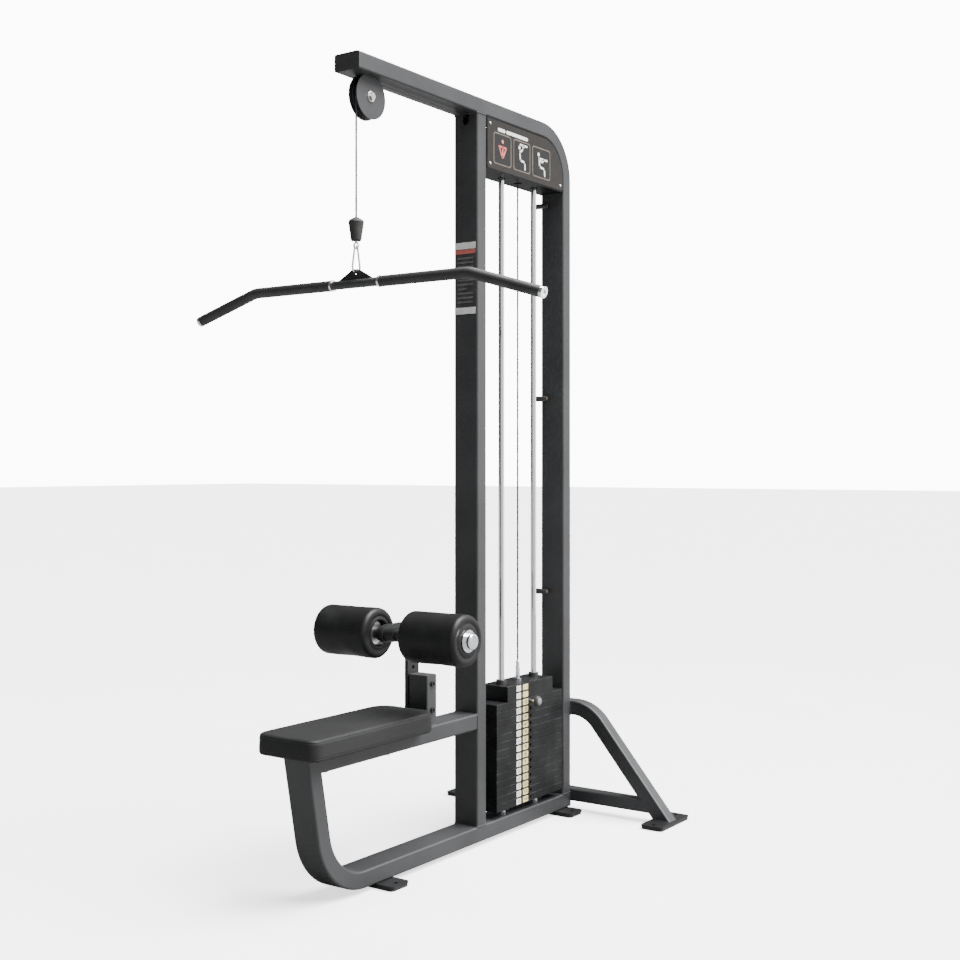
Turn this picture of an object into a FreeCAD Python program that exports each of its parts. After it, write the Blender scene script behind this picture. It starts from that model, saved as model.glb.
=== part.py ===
"""Lat pulldown machine: a free-standing pin-loaded station, in millimetres.

Frame: +Z up, the user sits on the -Y side and faces +Y, +X is the user's right hand.
The origin is on the floor, under the middle of the machine's length and width.
Each function below makes one sub-part or one small family of sub-parts.
"""
import FreeCAD, Part
import math
import os

os.makedirs("parts", exist_ok=True)
V = FreeCAD.Vector

# ---------------------------------------------------------------- driving sizes
# main frame
frame_height = 2347.0        # floor to the top of the beam
seat_to_upright = 830.0      # front of the seat to the front upright's front face
tower_depth = 564.0          # front upright's front face to the mast's back face
beam_overhang = 569.0        # beam's front end to the front upright's front face
tube_w = 90.0                # frame tube, across the machine
tube_t = 50.0                # frame tube, in the frame's plane
tube_wall = 3.0
tube_corner = 6.0            # outside corner radius of the tube
mast_bend = 150.0            # bend radii are to the tube's centre line
front_bend = 175.0
seat_tube_top = 418.0
post_lean = 10.9             # degrees that the seat post leans forward

# feet and rear stabiliser
foot_length = 205.0
foot_width = 80.0
foot_plate_t = 6.0
foot_pad_t = 8.0
foot_corner = 12.0
foot_pad_inset = 1.5
anchor_hole_r = 6.5
anchor_edge = 20.0           # hole centre to the plate's short edge
front_foot_back = 373.0      # front foot's centre behind the front of the seat
tower_foot_inset = 55.0      # tower foot's centre ahead of the mast's back face
arch_size = 50.0             # square tube
arch_top = 380.0
arch_bend = 125.0
arch_half_flat = 50.0        # half of the arch's straight top
arch_slope = 50.2            # degrees below level
arch_foot_x = 395.0          # side foot plate's centre
crossbar_low = 32.0
crossbar_h = 42.0

# weight stack
rod_r = 9.5
rod_spacing = 194.0
stack_centre = 297.0         # behind the front upright's front face
plate_count = 14
plate_pitch = 24.5
plate_length = 396.0
plate_width = 102.0
plate_chamfer = 1.2
head_length = 272.0
head_height = 50.0
collar_h = 10.0
collar_wall = 6.5
bumper_h = 14.0
bumper_r = 26.0
rod_hole_gap = 1.5           # between a guide rod and the plates' holes
selector_r = 10.0
selector_gap = 2.5
pin_r = 5.0
pin_gap = 0.3
pin_reach = 21.0             # knob's inner face stands this far off the plate
knob_r = 17.0
knob_t = 14.0
bushing_flange_wall = 6.0    # flange beyond the bushing's sleeve
bushing_flange_h = 14.0
clevis_r = 7.0
clevis_h = 44.0
clevis_base_r = 13.0
clevis_base_h = 8.0
carriage_gap = 0.3           # between the lifted plate and the plates that stay

# pulleys and cable
cable_r = 3.0
pulley_pitch_r = 48.0        # axle to the cable's centre line
pulley_r = 55.0
pulley_width = 20.0
pulley_web = 12.0
cable_to_beam = 8.0          # cable's centre line below the beam
groove_gap = 0.3
axle_r = 6.0
running_gap = 0.05
bearing_r = 16.0
bearing_width = 12.0
cheek_r = 64.0
cheek_t = 3.0
cheek_gap = 2.0
rear_cheek_r = 40.0
hex_across = 19.0
hex_t = 8.0
slot_half = 11.0             # cable slot through the front upright
slot_depth = 34.0

# cable end, link and bar
cable_drop_y = -532.0        # hanging cable, from the front upright's front face
stopper_top = 1893.0
stopper_low = 1826.0
stopper_r = 22.5
stopper_low_r = 15.0
stopper_shoulder = 10.0
eye_r = 8.0                  # swivel eye, to the wire's centre line
eye_wire_r = 2.5
eye_shank_r = 4.0
link_wire_r = 3.0
link_wide_r = 16.0           # link's lower arc, to the wire's centre line
link_narrow_r = 6.5
link_hang_gap = 1.2          # the lug is thick, so its hole clears the link's curve
eye_gap = 0.4
bar_z = 1706.0
bar_r = 12.5
bar_half = 616.0             # half the bar's width, without its end caps
bar_bend_x = 390.0
bar_end_drop = 68.0
bar_bend_r = 90.0
bracket_half = 74.0
bracket_t = 10.0
bracket_hole_r = 6.0
eye_above_bar = 29.0
grip_r = 15.5
grip_gap = 0.1
grip_inner_x = 90.0
grip_collar_t = 6.0
bar_cap_r = 15.5
bar_cap_t = 9.0

# shroud over the tower's top
shroud_low = 2130.0
shroud_t = 2.0
shroud_floor_t = 3.0
rod_plate_above = 28.0       # rod plate above the shroud's floor
rod_plate_t = 6.0
rod_plate_half = 30.0
rod_top_stub = 8.0
floor_hole_gap = 4.5         # between a guide rod and the shroud floor's hole

# seat
seat_width = 224.0
seat_back_gap = 29.0         # seat's back edge to the roller post
seat_corner = 50.0
board_t = 12.0
board_inset = 14.0               # the board sits in a pocket under the cushion
board_gap = 0.2
cushion_t = 62.0             # from the seat tube to the cushion's top
cushion_edge = 12.0
seat_bolt_r = 4.0
seat_bolt_x = 24.0
seat_bolt_inset = 140.0
seat_bolt_head_r = 7.0
seat_bolt_head_t = 5.0
seat_bolt_bite = 8.0         # how far a seat bolt goes into the board

# thigh rollers
post_x = (-30.0, 40.0)
post_back = 206.0            # post's back face ahead of the front upright's face
post_depth = 48.0
post_wall = 4.0
post_height = 147.0
post_cap_t = 4.0
clamp_z = (125.0, 46.0)      # clamp bolts above the seat tube
clamp_bolt_r = 6.0
clamp_hole_gap = 0.3
clamp_head_r = 8.0
clamp_head_t = 6.0
arm_gap = 0.3                # between the arm and the post or the nuts
arm_t = 11.4
arm_width = 54.0
arm_slot_gap = 0.5
arm_low = 18.0               # arm's foot above the seat tube
roller_axis_y = 354.0        # ahead of the front upright's face
roller_axis_z = 281.0        # above the seat tube
roller_r = 75.0
roller_length = 200.0
roller_inner_x = 60.0
roller_recess_r = 36.0       # on the inner end, where the core's flange shows
roller_outer_recess_r = 30.0
roller_recess = 16.0
roller_edge = 9.0
core_r = 20.0
core_flange_r = 33.0
core_outer_flange_r = 28.0
core_flange_t = 4.0
shaft_r = 12.5
shaft_gap = 0.1
hub_r = 21.0
hub_right = 5.0              # the hub's short end, on the user's right
sleeve_r = 15.5
side_gap = 0.3               # along the shaft, between what turns and what doesn't
spare_hole_z = 169.0         # unused hole in the arm, above the seat tube
end_cap_washer_r = 32.0
end_cap_washer_t = 3.0
end_cap_r = 23.0
end_cap_t = 18.0

# small parts
end_cap_wall = 4.0
guard_clip_z = (2090.0, 1424.0, 758.0)
guard_clip_r = 9.0
guard_clip_x = (-62.0, -14.0)

# ---------------------------------------------------------------- worked-out places
half_w = tube_w / 2
half_t = tube_t / 2
overall_length = seat_to_upright + tower_depth + arch_size / 2 + foot_length / 2
upright_y = seat_to_upright - overall_length / 2     # front upright's front face
seat_front = upright_y - seat_to_upright
beam_front = upright_y - beam_overhang
mast_back = upright_y + tower_depth
mast_front = mast_back - tube_t
arch_y = mast_back + arch_size / 2
rail_low = foot_pad_t + foot_plate_t
rail_top = rail_low + tube_t
beam_low = frame_height - tube_t
stack_y = upright_y + stack_centre
rod_ys = (stack_y - rod_spacing / 2, stack_y + rod_spacing / 2)
stack_low = rail_top + collar_h + bumper_h
stack_top = stack_low + plate_count * plate_pitch
collar_r = rod_r + collar_wall
rod_hole_r = rod_r + rod_hole_gap
bushing_flange_r = rod_hole_r + bushing_flange_wall
floor_hole_r = rod_r + floor_hole_gap
seat_length = seat_to_upright - post_back - post_depth - seat_back_gap
head_low = stack_top
head_top = head_low + head_height
cable_z = beam_low - cable_to_beam
pulley_z = cable_z - pulley_pitch_r
drop_y = upright_y + cable_drop_y
front_pulley_y = drop_y + pulley_pitch_r
rear_pulley_y = stack_y - pulley_pitch_r
cheek_x = pulley_width / 2 + cheek_gap
rod_plate_z = shroud_low + rod_plate_above
post_ys = (upright_y - post_back - post_depth, upright_y - post_back)
post_mid_y = (post_ys[0] + post_ys[1]) / 2
shaft_y = upright_y - roller_axis_y
shaft_z = seat_tube_top + roller_axis_z
arm_x = (post_x[0] - arm_gap - arm_t, post_x[0] - arm_gap)
hub_half = roller_inner_x - 3.0
board_low = seat_tube_top
board_high = board_low + board_t
cushion_top = board_low + cushion_t
eye_z = bar_z + eye_above_bar                         # bar bracket's hole
swivel_z = stopper_low - eye_r - 2 * eye_wire_r       # swivel eye's centre


# ---------------------------------------------------------------- helpers
def block(x0, x1, y0, y1, z0, z1):
    return Part.makeBox(x1 - x0, y1 - y0, z1 - z0, V(x0, y0, z0))


def rod(radius, start, end):
    """A round bar between two points."""
    along = end - start
    return Part.makeCylinder(radius, along.Length, start, along)


def ring(outer, inner, start, end):
    """A round bar with a hole along it."""
    return rod(outer, start, end).cut(rod(inner, start, end))


def soft_block(x0, x1, y0, y1, z0, z1, corner):
    """A block whose four upright edges are rounded."""
    shape = block(x0, x1, y0, y1, z0, z1)
    upright = [e for e in shape.Edges if abs(e.tangentAt(e.FirstParameter).z) > 0.99]
    return shape.makeFillet(corner, upright)


def bent_path(points, radii):
    """Straight runs through the points, joined by tangent arcs of the radii."""
    edges = []
    start = points[0]
    for before, corner, after, radius in zip(points, points[1:], points[2:], radii):
        back = (before - corner).normalize()
        ahead = (after - corner).normalize()
        half = back.getAngle(ahead) / 2
        reach = radius / math.tan(half)
        enter = corner + back * reach
        leave = corner + ahead * reach
        inward = (back + ahead).normalize()
        middle = corner + inward * (radius / math.sin(half) - radius)
        if (enter - start).Length > 1e-6:
            edges.append(Part.LineSegment(start, enter).toShape())
        edges.append(Part.Arc(enter, middle, leave).toShape())
        start = leave
    if (points[-1] - start).Length > 1e-6:
        edges.append(Part.LineSegment(start, points[-1]).toShape())
    return Part.Wire(edges)


def section(centre, side, up, width, height, corner):
    """A rounded rectangle: width along side, height along up."""
    edges = []
    corners = []
    for sx, sy in ((1, 1), (-1, 1), (-1, -1), (1, -1)):
        at = centre + side * (sx * (width / 2 - corner)) + up * (sy * (height / 2 - corner))
        corners.append((at, sx, sy))
    diagonal = corner / math.sqrt(2)
    ends = []
    for index, (at, sx, sy) in enumerate(corners):
        out_side = at + side * (sx * corner)
        out_up = at + up * (sy * corner)
        middle = at + side * (sx * diagonal) + up * (sy * diagonal)
        first, last = (out_side, out_up) if index % 2 == 0 else (out_up, out_side)
        ends.append((first, last))
        edges.append(Part.Arc(first, middle, last).toShape())
    joined = []
    for index, edge in enumerate(edges):
        joined.append(edge)
        following = ends[(index + 1) % 4][0]
        joined.append(Part.LineSegment(ends[index][1], following).toShape())
    return Part.Wire(joined)


def swept(path, profile, binormal):
    pipe = Part.BRepOffsetAPI.MakePipeShell(path)
    pipe.setBiNormalMode(binormal)
    pipe.add(profile)
    pipe.build()
    pipe.makeSolid()
    return Part.Solid(pipe.shape().Shells[0])


def frame_tube(path, side, width, height, wall, corner):
    """A bent rectangular tube, and the same shape filled in."""
    first = path.Edges[0]
    start = first.valueAt(first.FirstParameter)
    along = first.tangentAt(first.FirstParameter)
    up = side.cross(along).normalize()
    outer = swept(path, section(start, side, up, width, height, corner), side)
    inner_corner = max(corner - wall, 0.5)
    inner = swept(path, section(start, side, up, width - 2 * wall, height - 2 * wall,
                                inner_corner), side)
    return outer.cut(inner), outer


def round_wire(path, radius):
    """A round bar along a bent path."""
    first = path.Edges[0]
    start = first.valueAt(first.FirstParameter)
    along = first.tangentAt(first.FirstParameter)
    circle = Part.Wire(Part.makeCircle(radius, start, along))
    return Part.Solid(path.makePipeShell([circle], True, True).Shells[0])


def hexagon(across, centre, height, direction):
    """A hexagonal prism along X, such as a bolt's head."""
    radius = across / math.sqrt(3)
    points = []
    for k in range(7):
        angle = math.radians(60 * k)
        points.append(centre + V(0, radius * math.cos(angle), radius * math.sin(angle)))
    face = Part.Face(Part.makePolygon(points))
    return face.extrude(V(direction * height, 0, 0))


def turned(profile, centre, axis):
    """A solid of revolution; profile points lie in a plane through the axis."""
    face = Part.Face(Part.makePolygon(profile + profile[:1]))
    return face.revolve(centre, axis, 360)


def save(name, shape):
    solids = shape.Solids
    volume = sum(s.Volume for s in solids)
    good = all(s.isValid() for s in solids) and bool(solids)
    result = solids[0] if len(solids) == 1 else Part.makeCompound(solids)
    result.exportStep("parts/" + name + ".step")
    print("%-22s solids %2d  volume %12.0f  %s" % (name, len(solids), volume, "ok" if good else "BAD"))


# ---------------------------------------------------------------- main frame
def base_rail():
    """Floor rail and leaning seat post, bent from one tube."""
    lean = math.radians(post_lean)
    rail_mid = rail_low + half_t
    # centre line of the post where it meets the seat tube's top
    post_top_y = seat_front + 49.0 + half_t / math.cos(lean) - 4.0
    corner_y = post_top_y + (seat_tube_top - rail_mid) * math.tan(lean)
    top = V(0, post_top_y - 40 * math.tan(lean), seat_tube_top + 40)
    path = bent_path([top, V(0, corner_y, rail_mid), V(0, mast_back, rail_mid)], [front_bend])
    tube, filled = frame_tube(path, V(1, 0, 0), tube_w, tube_t, tube_wall, tube_corner)
    keep = block(-half_w - 5, half_w + 5, seat_front - 50, mast_back, 0, seat_tube_top)
    tube = tube.common(keep)
    for y in rod_ys:
        tube = tube.cut(rod(rod_r + 0.1, V(0, y, rail_top - 2 * tube_wall), V(0, y, rail_top + 1)))
    return tube, filled


def mast_beam():
    """Mast and top beam, bent from one tube."""
    mid_y = mast_back - half_t
    mid_z = frame_height - half_t
    path = bent_path([V(0, mid_y, rail_top), V(0, mid_y, mid_z), V(0, beam_front, mid_z)], [mast_bend])
    return frame_tube(path, V(1, 0, 0), tube_w, tube_t, tube_wall, tube_corner)[0]


def front_upright():
    mid = V(0, upright_y + half_t, rail_top)
    path = Part.Wire(Part.LineSegment(mid, V(0, mid.y, beam_low)).toShape())
    tube = frame_tube(path, V(1, 0, 0), tube_w, tube_t, tube_wall, tube_corner)[0]
    low = beam_low - slot_depth + slot_half
    slot = block(-slot_half, slot_half, upright_y - 1, upright_y + tube_t + 1, low, beam_low + 1)
    slot = slot.fuse(rod(slot_half, V(0, upright_y - 1, low), V(0, upright_y + tube_t + 1, low)))
    return tube.cut(slot)


def seat_tube(filled_rail):
    mid_z = seat_tube_top - half_t
    path = Part.Wire(Part.LineSegment(V(0, seat_front + 70, mid_z), V(0, upright_y, mid_z)).toShape())
    tube = frame_tube(path, V(1, 0, 0), tube_w, tube_t, tube_wall, tube_corner)[0]
    tube = tube.cut(filled_rail)
    for x, y in seat_bolt_places():
        tube = tube.cut(rod(seat_bolt_r, V(x, y, seat_tube_top - tube_t - 1), V(x, y, seat_tube_top + 1)))
    return max(tube.Solids, key=lambda s: s.Volume)


def rear_arch():
    """Stabiliser: one square tube bent down to both side feet, made in the plane Y = 0."""
    slope = math.radians(arch_slope)
    mid_z = arch_top - arch_size / 2
    corner_x = arch_half_flat + arch_bend * math.tan(slope / 2)
    drop = mid_z + 60
    end_x = corner_x + drop / math.tan(slope)
    points = [V(-end_x, 0, mid_z - drop), V(-corner_x, 0, mid_z),
              V(corner_x, 0, mid_z), V(end_x, 0, mid_z - drop)]
    path = bent_path(points, [arch_bend, arch_bend])
    tube, filled = frame_tube(path, V(0, 1, 0), arch_size, arch_size, tube_wall, tube_corner)
    keep = block(-end_x - 100, end_x + 100, -arch_size, arch_size, rail_low, arch_top + 10)
    return tube.common(keep), filled


def rear_crossbar(filled_arch):
    """Level tube between the arch's two legs, made in the plane Y = 0 as the arch is."""
    mid_z = crossbar_low + crossbar_h / 2
    reach = arch_foot_x
    path = Part.Wire(Part.LineSegment(V(-reach, 0, mid_z), V(reach, 0, mid_z)).toShape())
    tube = frame_tube(path, V(0, 1, 0), arch_size, crossbar_h, tube_wall, tube_corner)[0]
    tube = tube.cut(filled_arch)
    return min(tube.Solids, key=lambda s: abs(s.CenterOfMass.x))


def foot_places():
    """Name, centre and half sizes of each foot plate."""
    long_half = foot_length / 2
    short_half = foot_width / 2
    return [("front", 0.0, seat_front + front_foot_back, long_half, short_half),
            ("tower", 0.0, mast_back - tower_foot_inset, long_half, short_half),
            ("right", arch_foot_x, arch_y, short_half, long_half),
            ("left", -arch_foot_x, arch_y, short_half, long_half)]


def foot_slab(x, y, half_x, half_y, low, high, inset):
    slab = soft_block(x - half_x + inset, x + half_x - inset, y - half_y + inset, y + half_y - inset,
                      low, high, foot_corner)
    for side in (-1, 1):
        if half_x > half_y:
            at = V(x + side * (half_x - anchor_edge), y, low - 1)
        else:
            at = V(x, y + side * (half_y - anchor_edge), low - 1)
        slab = slab.cut(rod(anchor_hole_r, at, V(at.x, at.y, high + 1)))
    return slab


def save_feet():
    pads = []
    for name, x, y, half_x, half_y in foot_places():
        plate = foot_slab(x, y, half_x, half_y, foot_pad_t, rail_low, 0.0)
        save("foot_plate_" + name, plate)
        pads.append(foot_slab(x, y, half_x, half_y, 0.0, foot_pad_t, foot_pad_inset))
    save("foot_pads", Part.makeCompound(pads))


def beam_end_cap():
    cap = block(-half_w, half_w, beam_front - end_cap_wall, beam_front, beam_low, frame_height)
    along = [e for e in cap.Edges if abs(e.tangentAt(e.FirstParameter).y) > 0.99]
    return cap.makeFillet(tube_corner, along)


def guard_clips():
    """Short barrels on the mast's inner face, where a clear guard can be hung."""
    clips = []
    for z in guard_clip_z:
        y = mast_front - guard_clip_r - 2
        barrel = rod(guard_clip_r, V(guard_clip_x[0], y, z), V(guard_clip_x[1], y, z))
        foot = block(-half_w + tube_corner + 1, guard_clip_x[1] - 4, y, mast_front,
                     z - guard_clip_r + 2, z + guard_clip_r - 2)
        clips.append(barrel.fuse(foot).removeSplitter())
    return Part.makeCompound(clips)


# ---------------------------------------------------------------- seat
def seat_bolt_places():
    near = seat_front + seat_bolt_inset
    far = seat_front + seat_length - seat_bolt_inset
    return [(sx * seat_bolt_x, y) for sx in (-1, 1) for y in (near, far)]


def seat_board():
    board = soft_block(-seat_width / 2 + board_inset, seat_width / 2 - board_inset,
                       seat_front + board_inset, seat_front + seat_length - board_inset,
                       board_low, board_high, seat_corner - board_inset)
    for x, y in seat_bolt_places():
        board = board.cut(rod(seat_bolt_r, V(x, y, board_low - 1), V(x, y, board_low + seat_bolt_bite)))
    return board


def seat_cushion():
    pad = soft_block(-seat_width / 2, seat_width / 2, seat_front, seat_front + seat_length,
                     board_low, cushion_top, seat_corner)
    rim = [e for e in pad.Edges if e.BoundBox.ZMin > cushion_top - 0.01]
    pad = pad.makeFillet(cushion_edge, rim)
    inset = board_inset - board_gap
    pocket = soft_block(-seat_width / 2 + inset, seat_width / 2 - inset,
                        seat_front + inset, seat_front + seat_length - inset,
                        board_low - 1, board_high, seat_corner - inset)
    return pad.cut(pocket)


def seat_bolts():
    bolts = []
    for x, y in seat_bolt_places():
        low = seat_tube_top - tube_t
        shank = rod(seat_bolt_r, V(x, y, low), V(x, y, board_low + seat_bolt_bite))
        head = rod(seat_bolt_head_r, V(x, y, low - seat_bolt_head_t), V(x, y, low))
        bolts.append(shank.fuse(head).removeSplitter())
    return Part.makeCompound(bolts)


# ---------------------------------------------------------------- thigh rollers
def roller_post():
    """Upright box bolted behind the seat; the roller arm is clamped to its side."""
    low = seat_tube_top
    mid = V((post_x[0] + post_x[1]) / 2, post_mid_y, low)
    path = Part.Wire(Part.LineSegment(mid, mid + V(0, 0, post_height)).toShape())
    tube = frame_tube(path, V(1, 0, 0), post_x[1] - post_x[0], post_depth, post_wall, post_wall)[0]
    for z in clamp_z:
        hole = clamp_bolt_r + clamp_hole_gap
        tube = tube.cut(rod(hole, V(post_x[0] - 1, post_mid_y, low + z), V(post_x[1] + 1, post_mid_y, low + z)))
    return tube


def roller_post_cap():
    z = seat_tube_top + post_height
    cap = soft_block(post_x[0], post_x[1], post_ys[0], post_ys[1], z, z + post_cap_t, post_wall)
    top = [e for e in cap.Edges if e.BoundBox.ZMin > z + post_cap_t - 0.01]
    return cap.makeFillet(1.2, top)


def clamp_bolts():
    """Two long bolts with nuts, through the post and the arm's fork."""
    pieces = []
    nut_x = arm_x[0] - arm_gap
    for z in clamp_z:
        at = seat_tube_top + z
        shank = rod(clamp_bolt_r, V(nut_x - 12, post_mid_y, at), V(post_x[1], post_mid_y, at))
        head = rod(clamp_head_r, V(post_x[1], post_mid_y, at), V(post_x[1] + clamp_head_t, post_mid_y, at))
        socket = hexagon(8.0, V(post_x[1] + clamp_head_t - 3, post_mid_y, at), 5, 1)
        pieces.append(shank.fuse(head.cut(socket)).removeSplitter())
        nut = hexagon(hex_across, V(nut_x, post_mid_y, at), 10, -1)
        pieces.append(nut.cut(shank))
    return Part.makeCompound(pieces)


def roller_arm():
    """Flat arm with a forked foot, an elbow and the hub that carries the roller shaft."""
    back = post_mid_y + arm_width / 2
    front = post_mid_y - arm_width / 2
    low = seat_tube_top + arm_low
    high = shaft_z + arm_width / 2
    tip = shaft_y
    upright = block(arm_x[0], arm_x[1], front, back, low, high)
    level = block(arm_x[0], arm_x[1], tip, back, high - arm_width, high)
    nose = rod(arm_width / 2, V(arm_x[0], tip, shaft_z), V(arm_x[1], tip, shaft_z))
    plate = upright.fuse(level).fuse(nose).removeSplitter()
    elbow = [e for e in plate.Edges
             if abs(e.tangentAt(e.FirstParameter).x) > 0.99
             and ((abs(e.CenterOfMass.y - back) < 0.1 and e.CenterOfMass.z > high - 0.1)
                  or (abs(e.CenterOfMass.y - front) < 0.1 and abs(e.CenterOfMass.z - high + arm_width) < 0.1))]
    plate = plate.makeFillet(arm_width / 2, elbow)
    slot_r = clamp_bolt_r + arm_slot_gap
    slot_top = seat_tube_top + clamp_z[0]
    slot = block(arm_x[0] - 1, arm_x[1] + 1, post_mid_y - slot_r, post_mid_y + slot_r, low - 1, slot_top)
    slot = slot.fuse(rod(slot_r, V(arm_x[0] - 1, post_mid_y, slot_top), V(arm_x[1] + 1, post_mid_y, slot_top)))
    spare_z = seat_tube_top + spare_hole_z
    spare = rod(clamp_bolt_r, V(arm_x[0] - 1, post_mid_y, spare_z), V(arm_x[1] + 1, post_mid_y, spare_z))
    hub = rod(hub_r, V(-hub_half, shaft_y, shaft_z), V(hub_right, shaft_y, shaft_z))
    bore = rod(shaft_r, V(-hub_half - 1, shaft_y, shaft_z), V(hub_right + 1, shaft_y, shaft_z))
    return plate.cut(slot).cut(spare).fuse(hub).cut(bore).removeSplitter()


def shaft_reach():
    """The shaft's half length: just past the rollers' outer ends."""
    return roller_inner_x + roller_length + side_gap


def roller_shaft():
    reach = shaft_reach()
    return rod(shaft_r, V(-reach, shaft_y, shaft_z), V(reach, shaft_y, shaft_z))


def shaft_collars():
    """A spacer ring beside the hub's long end and a sleeve from its short end to the roller."""
    out = roller_inner_x + roller_recess - core_flange_t - side_gap
    spacer = ring(hub_r - 4, shaft_r, V(-out, shaft_y, shaft_z), V(-hub_half, shaft_y, shaft_z))
    sleeve = ring(sleeve_r, shaft_r, V(hub_right, shaft_y, shaft_z), V(out, shaft_y, shaft_z))
    return Part.makeCompound([spacer, sleeve])


def shaft_end_caps():
    """Domed caps on the shaft's two ends."""
    caps = []
    for s in (-1, 1):
        x0 = shaft_reach()
        x1 = x0 + end_cap_washer_t
        x2 = x1 + end_cap_t
        washer = rod(end_cap_washer_r, V(s * x0, shaft_y, shaft_z), V(s * x1, shaft_y, shaft_z))
        dome = rod(end_cap_r, V(s * x1, shaft_y, shaft_z), V(s * x2, shaft_y, shaft_z))
        rim = [e for e in dome.Edges if abs(abs(e.BoundBox.XMin) - x2) < 0.01
               and abs(abs(e.BoundBox.XMax) - x2) < 0.01]
        dome = dome.makeFillet(5.0, rim)
        caps.append(washer.fuse(dome).removeSplitter())
    return Part.makeCompound(caps)


def roller_foam(side):
    x0 = side * roller_inner_x
    x1 = side * (roller_inner_x + roller_length)
    a = V(x0, shaft_y, shaft_z)
    b = V(x1, shaft_y, shaft_z)
    foam = rod(roller_r, a, b)
    rims = [e for e in foam.Edges if e.BoundBox.XLength < 0.01 and e.Length > roller_r]
    foam = foam.makeFillet(roller_edge, rims)
    inward = V(side * roller_recess, 0, 0)
    foam = foam.cut(rod(core_r, a - inward, b + inward))
    foam = foam.cut(rod(roller_recess_r, a - inward, a + inward))
    return foam.cut(rod(roller_outer_recess_r, b - inward, b + inward))


def roller_core(side):
    a = V(side * (roller_inner_x + roller_recess), shaft_y, shaft_z)
    b = V(side * (roller_inner_x + roller_length - roller_recess), shaft_y, shaft_z)
    lip = V(side * core_flange_t, 0, 0)
    inner_flange = rod(core_flange_r, a - lip, a)
    outer_flange = rod(core_outer_flange_r, b, b + lip)
    core = rod(core_r, a, b).fuse(inner_flange).fuse(outer_flange)
    return core.cut(rod(shaft_r + shaft_gap, a - lip * 2, b + lip * 2)).removeSplitter()


# ---------------------------------------------------------------- weight stack
def plate_shape(low, length, height):
    plate = block(-plate_width / 2, plate_width / 2, stack_y - length / 2, stack_y + length / 2,
                  low, low + height)
    rims = [e for e in plate.Edges if abs(e.tangentAt(e.FirstParameter).z) < 0.01]
    plate = plate.makeChamfer(plate_chamfer, rims)
    for y in rod_ys:
        plate = plate.cut(rod(rod_hole_r, V(0, y, low - 1), V(0, y, low + height + 1)))
    return plate


def weight_plate(number, gap_below=0.0):
    """Plate number 1 is the top one; each has a hole for the selector pin."""
    low = stack_top - number * plate_pitch + gap_below
    plate = plate_shape(low, plate_length, plate_pitch - gap_below)
    plate = plate.cut(rod(selector_r + selector_gap, V(0, stack_y, low - 1), V(0, stack_y, low + plate_pitch + 1)))
    z = pin_height(number)
    return plate.cut(rod(pin_r + pin_gap, V(0, stack_y, z), V(plate_width / 2 + 1, stack_y, z)))


def pin_height(number):
    return stack_top - (number - 0.5) * plate_pitch


def head_block():
    head = plate_shape(head_low, head_length, head_height)
    return head.cut(rod(selector_r, V(0, stack_y, head_low - 1), V(0, stack_y, head_top + 1)))


def selector_rod():
    low = stack_low + 6
    bar = rod(selector_r, V(0, stack_y, low), V(0, stack_y, head_top))
    for number in range(1, plate_count + 1):
        z = pin_height(number)
        hole_r = pin_r + pin_gap
        bar = bar.cut(rod(hole_r, V(-selector_r - 1, stack_y, z), V(selector_r + 1, stack_y, z)))
    return bar


def selector_pin():
    z = pin_height(1)
    face = plate_width / 2
    return rod(pin_r, V(-selector_r + 2, stack_y, z), V(face + pin_reach, stack_y, z))


def selector_knob():
    z = pin_height(1)
    x0 = plate_width / 2 + pin_reach
    knob = rod(knob_r, V(x0, stack_y, z), V(x0 + knob_t, stack_y, z))
    rims = [e for e in knob.Edges if e.BoundBox.XLength < 0.01]
    return knob.makeFillet(3.5, rims)


def guide_bushings():
    bushes = []
    for y in rod_ys:
        sleeve = rod(rod_hole_r, V(0, y, head_low), V(0, y, head_top))
        flange = rod(bushing_flange_r, V(0, y, head_top), V(0, y, head_top + bushing_flange_h))
        bore = rod(rod_r + 0.1, V(0, y, head_low - 1), V(0, y, head_top + bushing_flange_h + 1))
        bushes.append(sleeve.fuse(flange).cut(bore).removeSplitter())
    return Part.makeCompound(bushes)


def cable_clevis():
    base = rod(clevis_base_r, V(0, stack_y, head_top), V(0, stack_y, head_top + clevis_base_h))
    neck = rod(clevis_r, V(0, stack_y, head_top), V(0, stack_y, head_top + clevis_h))
    return base.fuse(neck).removeSplitter()


def guide_rod(y):
    top = rod_plate_z + rod_plate_t + rod_top_stub
    return rod(rod_r, V(0, y, rail_top - 2 * tube_wall), V(0, y, top))


def rod_collars():
    return Part.makeCompound([ring(collar_r, rod_r, V(0, y, rail_top), V(0, y, rail_top + collar_h))
                              for y in rod_ys])


def stack_bumpers():
    return Part.makeCompound([ring(bumper_r, rod_r, V(0, y, rail_top + collar_h), V(0, y, stack_low))
                              for y in rod_ys])


def rod_top_plate():
    """Cross plate under the beam that holds the guide rods' top ends."""
    plate = block(-rod_plate_half, rod_plate_half, upright_y + tube_t, mast_front,
                  rod_plate_z, rod_plate_z + rod_plate_t)
    for y in rod_ys:
        plate = plate.cut(rod(rod_r, V(0, y, rod_plate_z - 1), V(0, y, rod_plate_z + rod_plate_t + 1)))
    hole = rod(floor_hole_r, V(0, stack_y, rod_plate_z - 1), V(0, stack_y, rod_plate_z + rod_plate_t + 1))
    return plate.cut(hole)


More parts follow.
